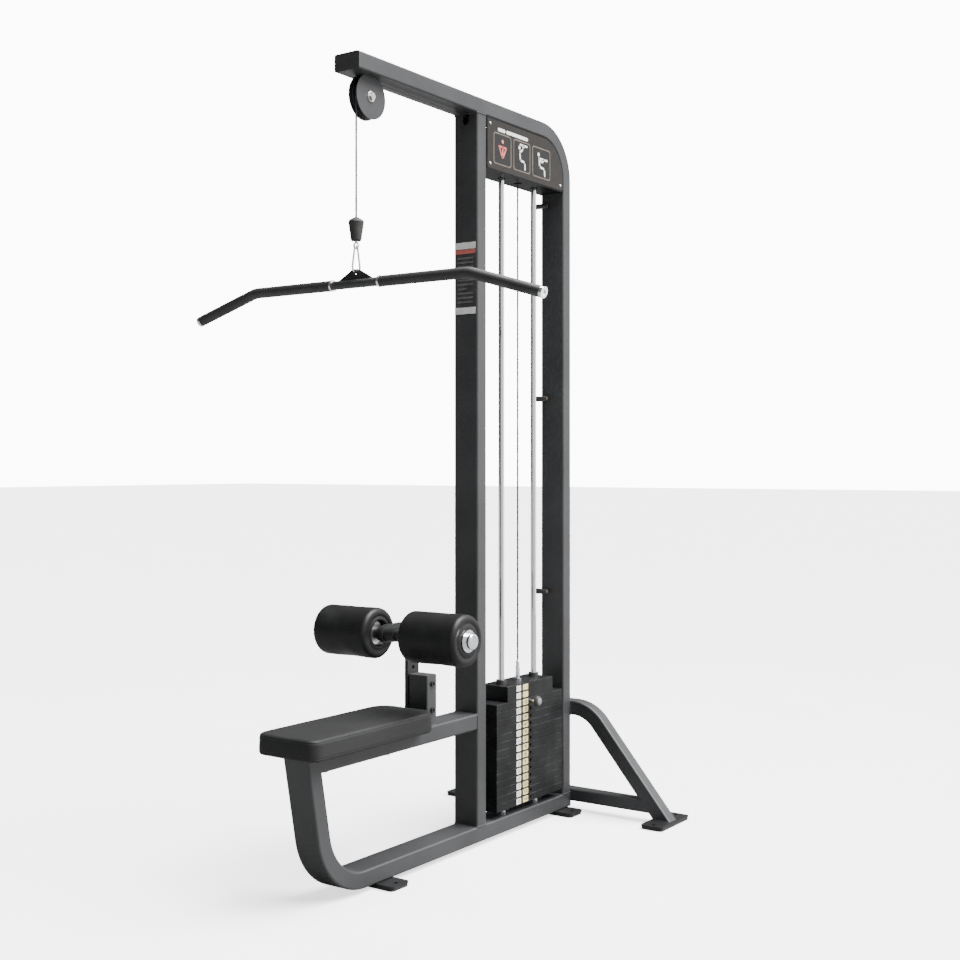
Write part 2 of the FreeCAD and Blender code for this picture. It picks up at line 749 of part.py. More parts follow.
# ---------------------------------------------------------------- shroud
def shroud_panel(side):
    """Sheet cover between the uprights, its back corner following the mast's bend."""
    y0 = upright_y + tube_t
    y1 = mast_front
    inner = mast_bend - half_t
    centre_y = y1 - inner
    centre_z = beam_low - inner
    diagonal = inner / math.sqrt(2)
    x = side * half_w if side < 0 else half_w - shroud_t
    edges = [Part.LineSegment(V(x, y0, shroud_low), V(x, y1, shroud_low)).toShape(),
             Part.LineSegment(V(x, y1, shroud_low), V(x, y1, centre_z)).toShape(),
             Part.Arc(V(x, y1, centre_z), V(x, centre_y + diagonal, centre_z + diagonal),
                      V(x, centre_y, beam_low)).toShape(),
             Part.LineSegment(V(x, centre_y, beam_low), V(x, y0, beam_low)).toShape(),
             Part.LineSegment(V(x, y0, beam_low), V(x, y0, shroud_low)).toShape()]
    return Part.Face(Part.Wire(edges)).extrude(V(shroud_t, 0, 0))


def shroud_floor():
    floor = block(-half_w + shroud_t, half_w - shroud_t, upright_y + tube_t, mast_front,
                  shroud_low, shroud_low + shroud_floor_t)
    for y in rod_ys + (stack_y,):
        floor = floor.cut(rod(floor_hole_r, V(0, y, shroud_low - 1), V(0, y, shroud_low + 10)))
    return floor


# ---------------------------------------------------------------- pulleys and cable
def cheek(y, radius, side):
    """Side plate of a pulley, hanging from the beam."""
    x0 = side * cheek_x
    x1 = side * (cheek_x + cheek_t)
    disc = rod(radius, V(x0, y, pulley_z), V(x1, y, pulley_z))
    half = math.sqrt(max(radius ** 2 - (beam_low - pulley_z) ** 2, (radius * 0.45) ** 2))
    neck = block(min(x0, x1), max(x0, x1), y - half, y + half, pulley_z, beam_low)
    plate = disc.fuse(neck).removeSplitter()
    plate = plate.common(block(-100, 100, y - 2 * radius, y + 2 * radius, pulley_z - radius, beam_low))
    return plate.cut(rod(axle_r, V(-100, y, pulley_z), V(100, y, pulley_z)))


def pulley(y):
    """Grooved wheel with a thin web; the groove is a little wider than the cable."""
    half = pulley_width / 2
    web = pulley_web / 2
    groove = cable_r + groove_gap
    rim_low = pulley_pitch_r - groove - 8
    profile = [V(half, y, pulley_z + rim_low), V(half, y, pulley_z + pulley_r),
               V(groove + 2, y, pulley_z + pulley_r), V(groove, y, pulley_z + pulley_pitch_r),
               V(groove * 0.7, y, pulley_z + pulley_pitch_r - groove * 0.75),
               V(0, y, pulley_z + pulley_pitch_r - groove * 1.02)]
    left = [V(-p.x, p.y, p.z) for p in reversed(profile[:-1])]
    hub = bearing_r + 6
    inner = [V(-web, y, pulley_z + rim_low - 3), V(-web, y, pulley_z + hub + 2),
             V(-half, y, pulley_z + hub), V(-half, y, pulley_z + bearing_r),
             V(half, y, pulley_z + bearing_r), V(half, y, pulley_z + hub),
             V(web, y, pulley_z + hub + 2), V(web, y, pulley_z + rim_low - 3)]
    return turned(profile + left + inner, V(0, y, pulley_z), V(1, 0, 0))


def pulley_bearing(y):
    half = bearing_width / 2
    return ring(bearing_r, axle_r + running_gap, V(-half, y, pulley_z), V(half, y, pulley_z))


def pulley_axles():
    """Each pulley's axle bolt, with its hexagonal head and a nut."""
    pieces = []
    out = cheek_x + cheek_t
    for y in (front_pulley_y, rear_pulley_y):
        shank = rod(axle_r, V(-out - 14, y, pulley_z), V(out, y, pulley_z))
        head = hexagon(hex_across, V(out, y, pulley_z), hex_t, 1)
        nut = hexagon(hex_across, V(-out, y, pulley_z), hex_t + 2, -1).cut(shank)
        pieces.append(shank.fuse(head).removeSplitter())
        pieces.append(nut)
    return Part.makeCompound(pieces)


def cable_run():
    """Cable from one pulley's side to the other's, along the beam's underside."""
    path = bent_path([V(0, drop_y, pulley_z), V(0, drop_y, cable_z), V(0, stack_y, cable_z),
                      V(0, stack_y, pulley_z)], [pulley_pitch_r, pulley_pitch_r])
    run = round_wire(path, cable_r)
    print("cable run length %.0f, volume over section %.0f" %
          (path.Length, run.Volume / (math.pi * cable_r ** 2)))
    return run


def cable_front_drop():
    return rod(cable_r, V(0, drop_y, stopper_top - stopper_shoulder * 3), V(0, drop_y, pulley_z))


def cable_stack_drop():
    return rod(cable_r, V(0, stack_y, head_top + clevis_h), V(0, stack_y, pulley_z))


# ---------------------------------------------------------------- cable end and bar
def cable_stopper():
    """Rubber stop with a bore for the cable above and for the swivel shank below."""
    shoulder = stopper_top - stopper_shoulder
    profile = [V(0, drop_y, stopper_top), V(cable_r + 2.5, drop_y, stopper_top),
               V(stopper_r - 3, drop_y, shoulder + 2), V(stopper_r, drop_y, shoulder - 3),
               V(stopper_low_r, drop_y, stopper_low + 2), V(stopper_low_r - 2, drop_y, stopper_low),
               V(0, drop_y, stopper_low)]
    body = turned(profile, V(0, drop_y, 0), V(0, 0, 1))
    cable_end = stopper_top - stopper_shoulder * 3
    body = body.cut(rod(cable_r, V(0, drop_y, cable_end), V(0, drop_y, stopper_top + 1)))
    bore = rod(eye_shank_r + running_gap, V(0, drop_y, stopper_low - 1), V(0, drop_y, stopper_low + 22))
    head = rod(eye_shank_r + 3.5, V(0, drop_y, stopper_low + 15), V(0, drop_y, stopper_low + 22))
    return body.cut(bore).cut(head)


def swivel_eye():
    """Ring on a headed shank that turns inside the stopper."""
    eye = Part.makeTorus(eye_r, eye_wire_r, V(0, drop_y, swivel_z), V(0, 1, 0))
    shank = rod(eye_shank_r, V(0, drop_y, swivel_z + eye_r), V(0, drop_y, stopper_low + 21))
    head = rod(eye_shank_r + 3, V(0, drop_y, stopper_low + 16), V(0, drop_y, stopper_low + 21))
    return eye.fuse(shank).fuse(head)


def pear_link():
    """Closed wire link between the swivel eye and the bar's bracket, in the frame's plane."""
    top_z = swivel_z - eye_r + eye_wire_r + link_wire_r + eye_gap
    low_z = eye_z + bracket_hole_r - link_wire_r - link_hang_gap
    top_c = V(0, drop_y, top_z - link_narrow_r)
    low_c = V(0, drop_y, low_z + link_wide_r)
    apart = top_c.z - low_c.z
    tilt = math.asin((link_wide_r - link_narrow_r) / apart)
    ahead = V(0, math.cos(tilt), math.sin(tilt))
    behind = V(0, -math.cos(tilt), math.sin(tilt))
    edges = [Part.Arc(top_c + behind * link_narrow_r, top_c + V(0, 0, link_narrow_r),
                      top_c + ahead * link_narrow_r).toShape(),
             Part.LineSegment(top_c + ahead * link_narrow_r, low_c + ahead * link_wide_r).toShape(),
             Part.Arc(low_c + ahead * link_wide_r, low_c - V(0, 0, link_wide_r),
                      low_c + behind * link_wide_r).toShape(),
             Part.LineSegment(low_c + behind * link_wide_r, top_c + behind * link_narrow_r).toShape()]
    path = Part.Wire(edges)
    start = top_c + behind * link_narrow_r
    along = V(0, math.sin(tilt), math.cos(tilt))
    circle = Part.Wire(Part.makeCircle(link_wire_r, start, along))
    pipe = Part.BRepOffsetAPI.MakePipeShell(path)
    pipe.setBiNormalMode(V(1, 0, 0))
    pipe.add(circle)
    pipe.build()
    pipe.makeSolid()
    return Part.Solid(pipe.shape().Shells[0])


def bar_points():
    return [V(-bar_half, drop_y, bar_z - bar_end_drop), V(-bar_bend_x, drop_y, bar_z),
            V(bar_bend_x, drop_y, bar_z), V(bar_half, drop_y, bar_z - bar_end_drop)]


def lat_bar():
    return round_wire(bent_path(bar_points(), [bar_bend_r, bar_bend_r]), bar_r)


def bar_bracket():
    """Triangular lug welded on the bar's middle."""
    top = eye_z + bracket_hole_r + 5
    base = bar_z + bar_r * 0.3
    corners = [V(-bracket_half, drop_y - bracket_t / 2, base), V(bracket_half, drop_y - bracket_t / 2, base),
               V(9, drop_y - bracket_t / 2, top), V(-9, drop_y - bracket_t / 2, top)]
    lug = Part.Face(Part.makePolygon(corners + corners[:1])).extrude(V(0, bracket_t, 0))
    peak = [e for e in lug.Edges if abs(e.tangentAt(e.FirstParameter).y) > 0.99 and e.CenterOfMass.z > top - 0.1]
    lug = lug.makeFillet(7.0, peak)
    hole = rod(bracket_hole_r, V(0, drop_y - bracket_t, eye_z), V(0, drop_y + bracket_t, eye_z))
    return lug.cut(hole).cut(rod(bar_r, V(-bar_bend_x, drop_y, bar_z), V(bar_bend_x, drop_y, bar_z)))


def bar_grips():
    """Long rubber sleeves, one on each side, from beside the lug to the bar's end."""
    grips = []
    points = bar_points()
    for side in (-1, 1):
        outer_end = points[0] if side < 0 else points[3]
        bend = points[1] if side < 0 else points[2]
        inner_end = V(side * grip_inner_x, drop_y, bar_z)
        path = bent_path([inner_end, bend, outer_end], [bar_bend_r])
        grips.append(round_wire(path, grip_r).cut(round_wire(path, bar_r + grip_gap)))
    return Part.makeCompound(grips)


def bar_end_caps():
    """A cap on each end of the bar and a thin collar at each grip's inner end."""
    caps = []
    points = bar_points()
    for side in (-1, 1):
        inner = V(side * (grip_inner_x - grip_collar_t), drop_y, bar_z)
        caps.append(ring(grip_r + 1, bar_r, inner, V(side * grip_inner_x, drop_y, bar_z)))
    for end, bend in ((points[0], points[1]), (points[3], points[2])):
        out = (end - bend).normalize()
        cap = rod(bar_cap_r, end, end + out * bar_cap_t)
        hollow = rod(bar_cap_r * 0.45, end + out * (bar_cap_t - 3), end + out * (bar_cap_t + 1))
        caps.append(cap.cut(hollow))
    return Part.makeCompound(caps)


# ---------------------------------------------------------------- build everything
def main():
    rail, filled_rail = base_rail()
    arch, filled_arch = rear_arch()
    save("base_rail", rail)
    save("mast_beam", mast_beam())
    save("front_upright", front_upright())
    save("seat_tube", seat_tube(filled_rail))
    behind_mast = V(0, arch_y, 0)
    save("rear_arch", arch.translated(behind_mast))
    save("rear_crossbar", rear_crossbar(filled_arch).translated(behind_mast))
    save_feet()
    save("beam_end_cap", beam_end_cap())
    save("guard_clips", guard_clips())

    save("seat_board", seat_board())
    save("seat_cushion", seat_cushion())
    save("seat_bolts", seat_bolts())

    save("roller_post", roller_post())
    save("roller_post_cap", roller_post_cap())
    save("clamp_bolts", clamp_bolts())
    save("roller_arm", roller_arm())
    save("roller_shaft", roller_shaft())
    save("shaft_collars", shaft_collars())
    save("shaft_end_caps", shaft_end_caps())
    for name, side in (("right", 1), ("left", -1)):
        save("roller_foam_" + name, roller_foam(side))
        save("roller_core_" + name, roller_core(side))

    save("guide_rod_front", guide_rod(rod_ys[0]))
    save("guide_rod_rear", guide_rod(rod_ys[1]))
    save("rod_collars", rod_collars())
    save("stack_bumpers", stack_bumpers())
    save("rod_top_plate", rod_top_plate())
    save("weight_plate_top", weight_plate(1, carriage_gap))
    lower = [weight_plate(number) for number in range(2, plate_count + 1)]
    save("lower_weight_plates", Part.makeCompound(lower))
    save("head_block", head_block())
    save("selector_rod", selector_rod())
    save("selector_pin", selector_pin())
    save("selector_knob", selector_knob())
    save("guide_bushings", guide_bushings())
    save("cable_clevis", cable_clevis())

    save("shroud_right", shroud_panel(1))
    save("shroud_left", shroud_panel(-1))
    save("shroud_floor", shroud_floor())

    save("front_pulley_cheeks", Part.makeCompound([cheek(front_pulley_y, cheek_r, s) for s in (1, -1)]))
    save("rear_pulley_cheeks", Part.makeCompound([cheek(rear_pulley_y, rear_cheek_r, s) for s in (1, -1)]))
    for name, y in (("front", front_pulley_y), ("rear", rear_pulley_y)):
        save(name + "_pulley", pulley(y))
        save(name + "_pulley_bearing", pulley_bearing(y))
    save("pulley_axles", pulley_axles())
    save("cable_run", cable_run())
    save("cable_front_drop", cable_front_drop())
    save("cable_stack_drop", cable_stack_drop())

    save("cable_stopper", cable_stopper())
    save("swivel_eye", swivel_eye())
    save("pear_link", pear_link())
    save("bar_bracket", bar_bracket())
    save("lat_bar", lat_bar())
    save("bar_grips", bar_grips())
    save("bar_end_caps", bar_end_caps())


main()
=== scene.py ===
# %% [markdown]
# # A lat pulldown machine
# A steel frame in charcoal paint, a stack of weight plates, a bent bar on a cable, a padded
# seat and two foam thigh rollers. The frame, plates and pulleys come in as exact CAD parts.
# The lesson gives them finishes, then adds what CAD leaves out: a soft seat, moulded rollers,
# laid cables, weld beads, numbered labels and small fixings.

# %% Load the machine
import math
import bmesh
import bpy
from mathutils import Matrix, Vector


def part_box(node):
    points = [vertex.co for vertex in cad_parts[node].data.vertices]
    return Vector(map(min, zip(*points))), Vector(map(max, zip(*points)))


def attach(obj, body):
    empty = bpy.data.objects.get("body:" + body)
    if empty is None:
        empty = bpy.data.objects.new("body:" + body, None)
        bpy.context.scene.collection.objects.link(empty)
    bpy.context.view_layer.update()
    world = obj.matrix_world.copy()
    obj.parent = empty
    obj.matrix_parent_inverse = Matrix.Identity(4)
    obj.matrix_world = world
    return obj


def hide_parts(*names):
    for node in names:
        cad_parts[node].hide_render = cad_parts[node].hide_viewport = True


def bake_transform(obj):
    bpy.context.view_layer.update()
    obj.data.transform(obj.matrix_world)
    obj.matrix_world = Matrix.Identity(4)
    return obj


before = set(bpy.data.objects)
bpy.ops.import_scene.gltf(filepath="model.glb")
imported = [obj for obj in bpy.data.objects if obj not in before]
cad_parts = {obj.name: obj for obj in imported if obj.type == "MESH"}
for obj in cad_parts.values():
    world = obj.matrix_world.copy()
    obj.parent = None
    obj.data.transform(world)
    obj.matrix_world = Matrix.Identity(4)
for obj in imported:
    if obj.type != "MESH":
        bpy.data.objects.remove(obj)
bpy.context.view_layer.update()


# %% [markdown]
# ## The camera
# The view is level, from the user's right and a little behind the seat, so uprights stay
# upright in the picture. A level camera with a small lens shift does this; tilting it would
# make the mast lean. The lens is a normal one, a little longer than the eye sees.

# %% Camera
eye = bpy.data.cameras.new("studio_camera")
eye.lens = 50.575
eye.sensor_width = 36.0
eye.shift_y = -0.0156
eye.clip_end = 200.0
camera = bpy.data.objects.new("studio_camera", eye)
camera.location = (2.4565, -3.3804, 1.195)
camera.rotation_euler = (math.radians(90), 0, math.radians(34.85))
bpy.context.scene.collection.objects.link(camera)
bpy.context.scene.camera = camera
print("camera stands", round(camera.location.length, 2), "m from the origin")


# %% [markdown]
# ## Studio light
# One broad light on the user's right makes the side faces of the tubes pale and leaves the
# front faces dark, which is what gives the machine its crisp look. A weak overhead light
# picks out the seat, and a pale surround fills the rest and gives the chrome something to
# mirror.

# %% Floor, surround and lights
def area_light(name, place, target, size, power):
    """A square soft light that looks at a point."""
    lamp = bpy.data.lights.new(name, "AREA")
    lamp.shape = "RECTANGLE"
    lamp.size, lamp.size_y = size
    lamp.energy = power
    holder = bpy.data.objects.new(name, lamp)
    holder.location = place
    aim = Vector(target) - Vector(place)
    holder.rotation_euler = aim.to_track_quat("-Z", "Y").to_euler()
    bpy.context.scene.collection.objects.link(holder)
    return holder


area_light("side_panel", (4.6, 4.2, 1.7), (0, 0.1, 1.15), (4.6, 3.6), 112)
area_light("top_light", (0.6, 0.2, 4.8), (0, 0, 0.5), (2.6, 2.6), 300)

sky = bpy.data.lights.new("window_sun", "SUN")
sky.energy = 13.0
sky.angle = math.radians(50)
window = bpy.data.objects.new("window_sun", sky)
window.rotation_euler = Vector((-0.52, -0.22, -0.80)).to_track_quat("-Z", "Y").to_euler()
bpy.context.scene.collection.objects.link(window)

world = bpy.data.worlds.new("studio")
world.use_nodes = True
bpy.context.scene.world = world


# %% [markdown]
# ## Writing shader maths
# A material is a graph of nodes, and graphs are slow to read. A small class can wrap a node's
# output so that `0.3 + 0.2 * grain` adds the Math nodes itself. One function places any other
# node: its settings go in first, because some of them decide which sockets it has.

# %% A socket that does arithmetic
def place(tree, kind, settings=None, sockets=None, out=0):
    """Adds a node, applies its settings, then fills its sockets; gives one output."""
    node = tree.nodes.new(kind)
    for name, value in (settings or {}).items():
        if name == "stops":
            ramp = node.color_ramp
            while len(ramp.elements) < len(value):
                ramp.elements.new(0.5)
            for stop, (at, colour) in zip(ramp.elements, value):
                stop.position = at
                stop.color = colour
        else:
            setattr(node, name, value)
    for name, value in (sockets or {}).items():
        if isinstance(value, Wire):
            tree.links.new(value.socket, node.inputs[name])
        else:
            node.inputs[name].default_value = value
    return Wire(tree, node.outputs[out]) if len(node.outputs) else node


class Wire:
    """A node's output, which Python's operators extend with Math nodes."""

    def __init__(self, tree, socket):
        self.tree = tree
        self.socket = socket

    def math(self, operation, first, second=0.0):
        return place(self.tree, "ShaderNodeMath", {"operation": operation}, {0: first, 1: second})

    def __add__(self, other):
        return self.math("ADD", self, other)

    def __sub__(self, other):
        return self.math("SUBTRACT", self, other)

    def __rsub__(self, other):
        return self.math("SUBTRACT", other, self)

    def __mul__(self, other):
        return self.math("MULTIPLY", self, other)

    def __gt__(self, other):
        return self.math("GREATER_THAN", self, other)

    def __lt__(self, other):
        return self.math("LESS_THAN", self, other)

    def __pow__(self, other):
        return self.math("POWER", self, other)

    def clamp(self):
        return self.math("MAXIMUM", self.math("MINIMUM", self, 1.0), 0.0)

    __radd__ = __add__
    __rmul__ = __mul__


print("arithmetic on sockets is ready")


# %% [markdown]
# ## A finish, as a recipe
# Every finish here starts the same way: one Principled shader, and coordinates in metres
# taken from the part itself, so a grain keeps its real size on every piece and moves with it.
# A recipe class holds both, with short words for noise, blends and bumps.

# %% The recipe class
class Finish:
    """A material being made: constants go on the shader, patterns are linked to it."""

    def __init__(self, name, **constants):
        self.material = bpy.data.materials.new(name)
        self.material.use_nodes = True
        self.tree = self.material.node_tree
        self.shader = self.tree.nodes["Principled BSDF"]
        for key, value in constants.items():
            self.shader.inputs[key.replace("_", " ").title().replace("Ior", "IOR")].default_value = value
        self.where = self.add("ShaderNodeTexCoord", out=3)

    def add(self, kind, settings=None, sockets=None, out=0):
        return place(self.tree, kind, settings, sockets, out)

    def noise(self, scale, detail=3.0, stretch=None):
        where = self.where
        if stretch:
            where = self.add("ShaderNodeVectorMath", {"operation": "MULTIPLY"}, {0: where, 1: stretch})
        sockets = {"Vector": where, "Scale": scale, "Detail": detail}
        return self.add("ShaderNodeTexNoise", None, sockets)

    def cells(self, scale, feature="F1"):
        return self.add("ShaderNodeTexVoronoi", {"feature": feature}, {"Vector": self.where, "Scale": scale})

    def step(self, value, low, high):
        """0 below low, 1 above high, smooth between."""
        sockets = {"Value": value, "From Min": low, "From Max": high}
        return self.add("ShaderNodeMapRange", {"interpolation_type": "SMOOTHSTEP"}, sockets)

    def blend(self, factor, first, second):
        return self.add("ShaderNodeMix", {"data_type": "RGBA"}, {0: factor, 6: first, 7: second}, out=2)

    def edges(self, radius):
        """1 on sharp edges, 0 on flat faces."""
        round_normal = self.add("ShaderNodeBevel", {"samples": 4}, {"Radius": radius})
        true_normal = self.add("ShaderNodeNewGeometry", out=1)
        same = self.add("ShaderNodeVectorMath", {"operation": "DOT_PRODUCT"},
                        {0: round_normal, 1: true_normal}, out=1)
        return 1.0 - same

    def link(self, name, value):
        self.tree.links.new(value.socket, self.shader.inputs[name])
        return self

    def bump(self, height, strength, distance=0.001):
        sockets = {"Height": height, "Strength": strength, "Distance": distance}
        return self.link("Normal", self.add("ShaderNodeBump", None, sockets))


def grey(value, tint=(1.0, 1.0, 1.0)):
    """An opaque colour from one brightness and a slight tint."""
    return (value * tint[0], value * tint[1], value * tint[2], 1.0)


COOL = (0.97, 1.0, 1.04)
WARM = (1.06, 1.0, 0.93)
print("recipes have", [n for n in dir(Finish) if not n.startswith("_")])


# %% [markdown]
# ## Surround and floor
# The camera should see a plain pale wall, while the machine should be filled by a weaker
# light than that wall would give. The Light Path node tells the two apart. The floor uses it
# too: it looks pale, but throws less light back up, so the dark front faces stay dark.
# Mirrors see a third surround, bright on the window side and dim on the other, which draws
# the light and dark stripes that make a chrome rod look round.

# %% Studio surround
air = world.node_tree
air.nodes.clear()
seen = place(air, "ShaderNodeLightPath")
mirrored = Wire(air, seen.socket.node.outputs["Is Glossy Ray"])
towards = place(air, "ShaderNodeSeparateXYZ", None, {"Vector": place(air, "ShaderNodeTexCoord")})
window_side = place(air, "ShaderNodeMapRange", {"interpolation_type": "SMOOTHSTEP"},
                    {"Value": towards, "From Min": -0.45, "From Max": 0.25, "To Min": 0.12, "To Max": 1.1})
strength = 0.05 + 12.0 * seen + mirrored * window_side
backdrop = place(air, "ShaderNodeBackground", None, {"Color": grey(0.96), "Strength": strength})
place(air, "ShaderNodeOutputWorld", None, {"Surface": backdrop})

floor_mesh = bpy.data.meshes.new("studio_floor")
reach = 60.0
floor_mesh.from_pydata([(-reach, -reach, 0), (reach, -reach, 0), (reach, reach, 0), (-reach, reach, 0)],
                       [], [(0, 1, 2, 3)])
floor = bpy.data.objects.new("studio_floor", floor_mesh)
floor.location.z = -0.0005
bpy.context.scene.collection.objects.link(floor)

plaster = Finish("pale_floor", roughness=0.8, specular_ior_level=0.2)
soft = plaster.step(plaster.noise(2.0, 4.0), 0.3, 0.7)
lit = plaster.blend(soft, grey(0.88), grey(0.92))
direct = plaster.add("ShaderNodeLightPath")
plaster.link("Base Color", plaster.blend(direct, grey(0.22), lit))
plaster.link("Emission Color", plaster.blend(direct, grey(0.0), grey(0.85)))
plaster.shader.inputs["Emission Strength"].default_value = 2.0
floor_mesh.materials.append(plaster.material)
print("floor is", 2 * reach, "m wide")


# %% [markdown]
# ## Powder-coated tube
# The frame's paint is baked powder. Close up it has a fine orange-peel skin and a faint
# metallic fleck, and it wears through at tube ends and edges where things knock it. Two
# noises of different size make the skin and the fleck, and a Bevel node finds the edges.

# %% Charcoal powder coat
def charcoal_coat():
    coat = Finish("charcoal_powder_coat", metallic=0.20, specular_ior_level=0.36)
    peel = coat.noise(700.0, 2.0)
    cloud = coat.noise(5.0, 3.0)
    fleck = coat.step(coat.cells(2600.0), 0.10, 0.02)
    scuff = coat.step(coat.noise(38.0, 6.0), 0.60, 0.72)
    worn = (coat.step(coat.edges(0.0022), 0.02, 0.10) * scuff * 0.8).clamp()
    body = coat.blend(coat.step(cloud, 0.3, 0.7), grey(0.034, COOL), grey(0.044, COOL))
    body = coat.blend(fleck * 0.25, body, grey(0.22, COOL))
    body = coat.blend(worn, body, grey(0.36))
    coat.link("Base Color", body)
    coat.link("Roughness", 0.37 + 0.10 * cloud + 0.05 * fleck - 0.08 * worn)
    return coat.bump(peel, 0.10, 0.0004).material


def dark_coat(name, gloss):
    """The same powder in near black, for the pieces inside and under the frame."""
    coat = Finish(name, specular_ior_level=gloss)
    peel = coat.noise(650.0, 2.0)
    cloud = coat.noise(6.0, 3.0)
    scuff = coat.step(coat.noise(45.0, 6.0), 0.60, 0.74)
    worn = (coat.step(coat.edges(0.0015), 0.02, 0.12) * scuff * 0.7).clamp()
    body = coat.blend(coat.step(cloud, 0.3, 0.7), grey(0.008, COOL), grey(0.013, COOL))
    coat.link("Base Color", coat.blend(worn, body, grey(0.16)))
    coat.link("Roughness", 0.36 + 0.12 * cloud)
    return coat.bump(peel, 0.12, 0.0004).material


charcoal = charcoal_coat()
black_coat = dark_coat("black_powder_coat", 0.30)
matte_coat = dark_coat("matte_black_coat", 0.04)
print("paints:", charcoal.name, black_coat.name, matte_coat.name)


# %% [markdown]
# ## Plate paint
# Weight plates are cut from thick bar, painted black and slid past each other for years.
# Their faces show long rolling marks, and their edges are rubbed a little brighter. A noise
# stretched along the plate gives the marks.

# %% Weight plate paint
def plate_coat():
    paint = Finish("weight_plate_paint", specular_ior_level=0.14)
    rolled = paint.noise(1.0, 5.0, (900.0, 14.0, 900.0))
    patch = paint.noise(16.0, 4.0)
    rubbed = (paint.step(paint.edges(0.0018), 0.02, 0.14) * paint.step(patch, 0.42, 0.62)).clamp()
    body = paint.blend(paint.step(patch, 0.3, 0.7), grey(0.006, COOL), grey(0.011, COOL))
    paint.link("Base Color", paint.blend(rubbed * 0.30, body, grey(0.16, COOL)))
    paint.link("Roughness", 0.33 + 0.14 * rolled)
    return paint.bump(0.5 * rolled + 0.5 * paint.noise(420.0), 0.06, 0.0004).material


stack_finish = plate_coat()
print("plates:", stack_finish.name)


# %% [markdown]
# ## Bright metals
# Chrome is almost a mirror, so its look is mostly the room; a faint smear of roughness stops
# it looking like glass. Zinc plate is duller and slightly mottled, with fine turning marks.
# Both are metals, so their colour is the colour of their reflections.

# %% Chrome, zinc and polished shaft
def chrome_plate():
    plate = Finish("chrome_plate", metallic=1.0, base_color=grey(0.82, COOL))
    smear = plate.noise(60.0, 4.0, (1.0, 1.0, 0.15))
    plate.link("Roughness", 0.05 + 0.12 * plate.step(smear, 0.4, 0.75))
    plate.link("Base Color", plate.blend(smear, grey(0.74, COOL), grey(0.86, COOL)))
    return plate.bump(plate.noise(240.0), 0.02, 0.0003).material


def zinc_plate():
    plate = Finish("zinc_plate", metallic=1.0)
    mottle = plate.cells(260.0)
    grain = plate.noise(900.0, 2.0, (0.1, 1.0, 1.0))
    plate.link("Base Color", plate.blend(mottle, grey(0.46, COOL), grey(0.62, WARM)))
    plate.link("Roughness", 0.26 + 0.16 * grain)
    return plate.bump(grain, 0.08, 0.0003).material


def drilled_steel():
    """The selector rod: bare turned steel with a film of oil."""
    steel = Finish("turned_steel", metallic=1.0, coat_weight=0.2, coat_roughness=0.15)
    lathe = steel.noise(1.0, 3.0, (60.0, 60.0, 2600.0))
    steel.link("Base Color", steel.blend(lathe, grey(0.30), grey(0.44)))
    steel.link("Roughness", 0.24 + 0.18 * lathe)
    return steel.bump(lathe, 0.10, 0.0002).material


chrome = chrome_plate()
zinc = zinc_plate()
turned_steel = drilled_steel()
print("metals:", chrome.name, zinc.name, turned_steel.name)


# %% [markdown]
# ## Black plastics and rubber
# These are all black, so only gloss and texture tell them apart: moulded caps have a fine
# spark texture, foot rubber is matte and dusty on top, and the grips are a soft rubber with
# fine ribs round the bar.

# %% Moulded plastic, nylon, rubber and cable jacket
def moulded_plastic():
    skin = Finish("moulded_plastic", coat_weight=0.0)
    spark = skin.cells(1500.0)
    cloud = skin.noise(30.0)
    skin.link("Base Color", skin.blend(cloud, grey(0.016), grey(0.026)))
    skin.link("Roughness", 0.42 + 0.16 * cloud)
    return skin.bump(spark, 0.16, 0.0003).material


def wheel_nylon():
    nylon = Finish("wheel_nylon", coat_weight=0.05)
    ring_marks = nylon.noise(1.0, 2.0, (2200.0, 30.0, 30.0))
    nylon.link("Base Color", nylon.blend(ring_marks, grey(0.022), grey(0.036)))
    nylon.link("Roughness", 0.34 + 0.14 * ring_marks)
    return nylon.bump(ring_marks, 0.10, 0.0003).material


def foot_rubber():
    pad = Finish("foot_rubber")
    dust = pad.step(pad.noise(22.0, 6.0), 0.45, 0.80)
    pad.link("Base Color", pad.blend(dust * 0.4, grey(0.013), grey(0.085, WARM)))
    pad.link("Roughness", 0.70 + 0.2 * dust)
    return pad.bump(pad.noise(520.0, 4.0), 0.28, 0.0006).material


def cable_jacket():
    jacket = Finish("cable_jacket", coat_weight=0.3, coat_roughness=0.2)
    lay = jacket.noise(1.0, 2.0, (400.0, 400.0, 90.0))
    jacket.link("Base Color", jacket.blend(lay, grey(0.012), grey(0.026)))
    jacket.link("Roughness", 0.30 + 0.12 * lay)
    return jacket.bump(lay, 0.15, 0.0004).material


def grip_rubber():
    grip = Finish("grip_rubber")
    ribs = grip.add("ShaderNodeTexWave", {"bands_direction": "X", "wave_profile": "SIN"},
                    {"Vector": grip.where, "Scale": 105.0, "Distortion": 0.0})
    worn = grip.step(grip.noise(18.0, 5.0), 0.42, 0.72)
    grip.link("Base Color", grip.blend(worn, grey(0.013), grey(0.024)))
    grip.link("Roughness", 0.56 - 0.14 * worn)
    return grip.bump(0.5 * ribs + 0.4 * grip.noise(700.0), 0.22, 0.0006).material


plastic = moulded_plastic()
nylon = wheel_nylon()
rubber = foot_rubber()
jacket = cable_jacket()
sleeve_rubber = grip_rubber()
print("blacks:", [m.name for m in (plastic, nylon, rubber, jacket, sleeve_rubber)])


# %% [markdown]
# ## Vinyl and foam skin
# The seat cover is black vinyl with an embossed leather grain: small irregular cells with
# thin valleys between them, and creases where it is pulled over the edge. Voronoi distance to
# edge draws the valleys. The rollers have a closed foam skin: smoother, with tiny pores.

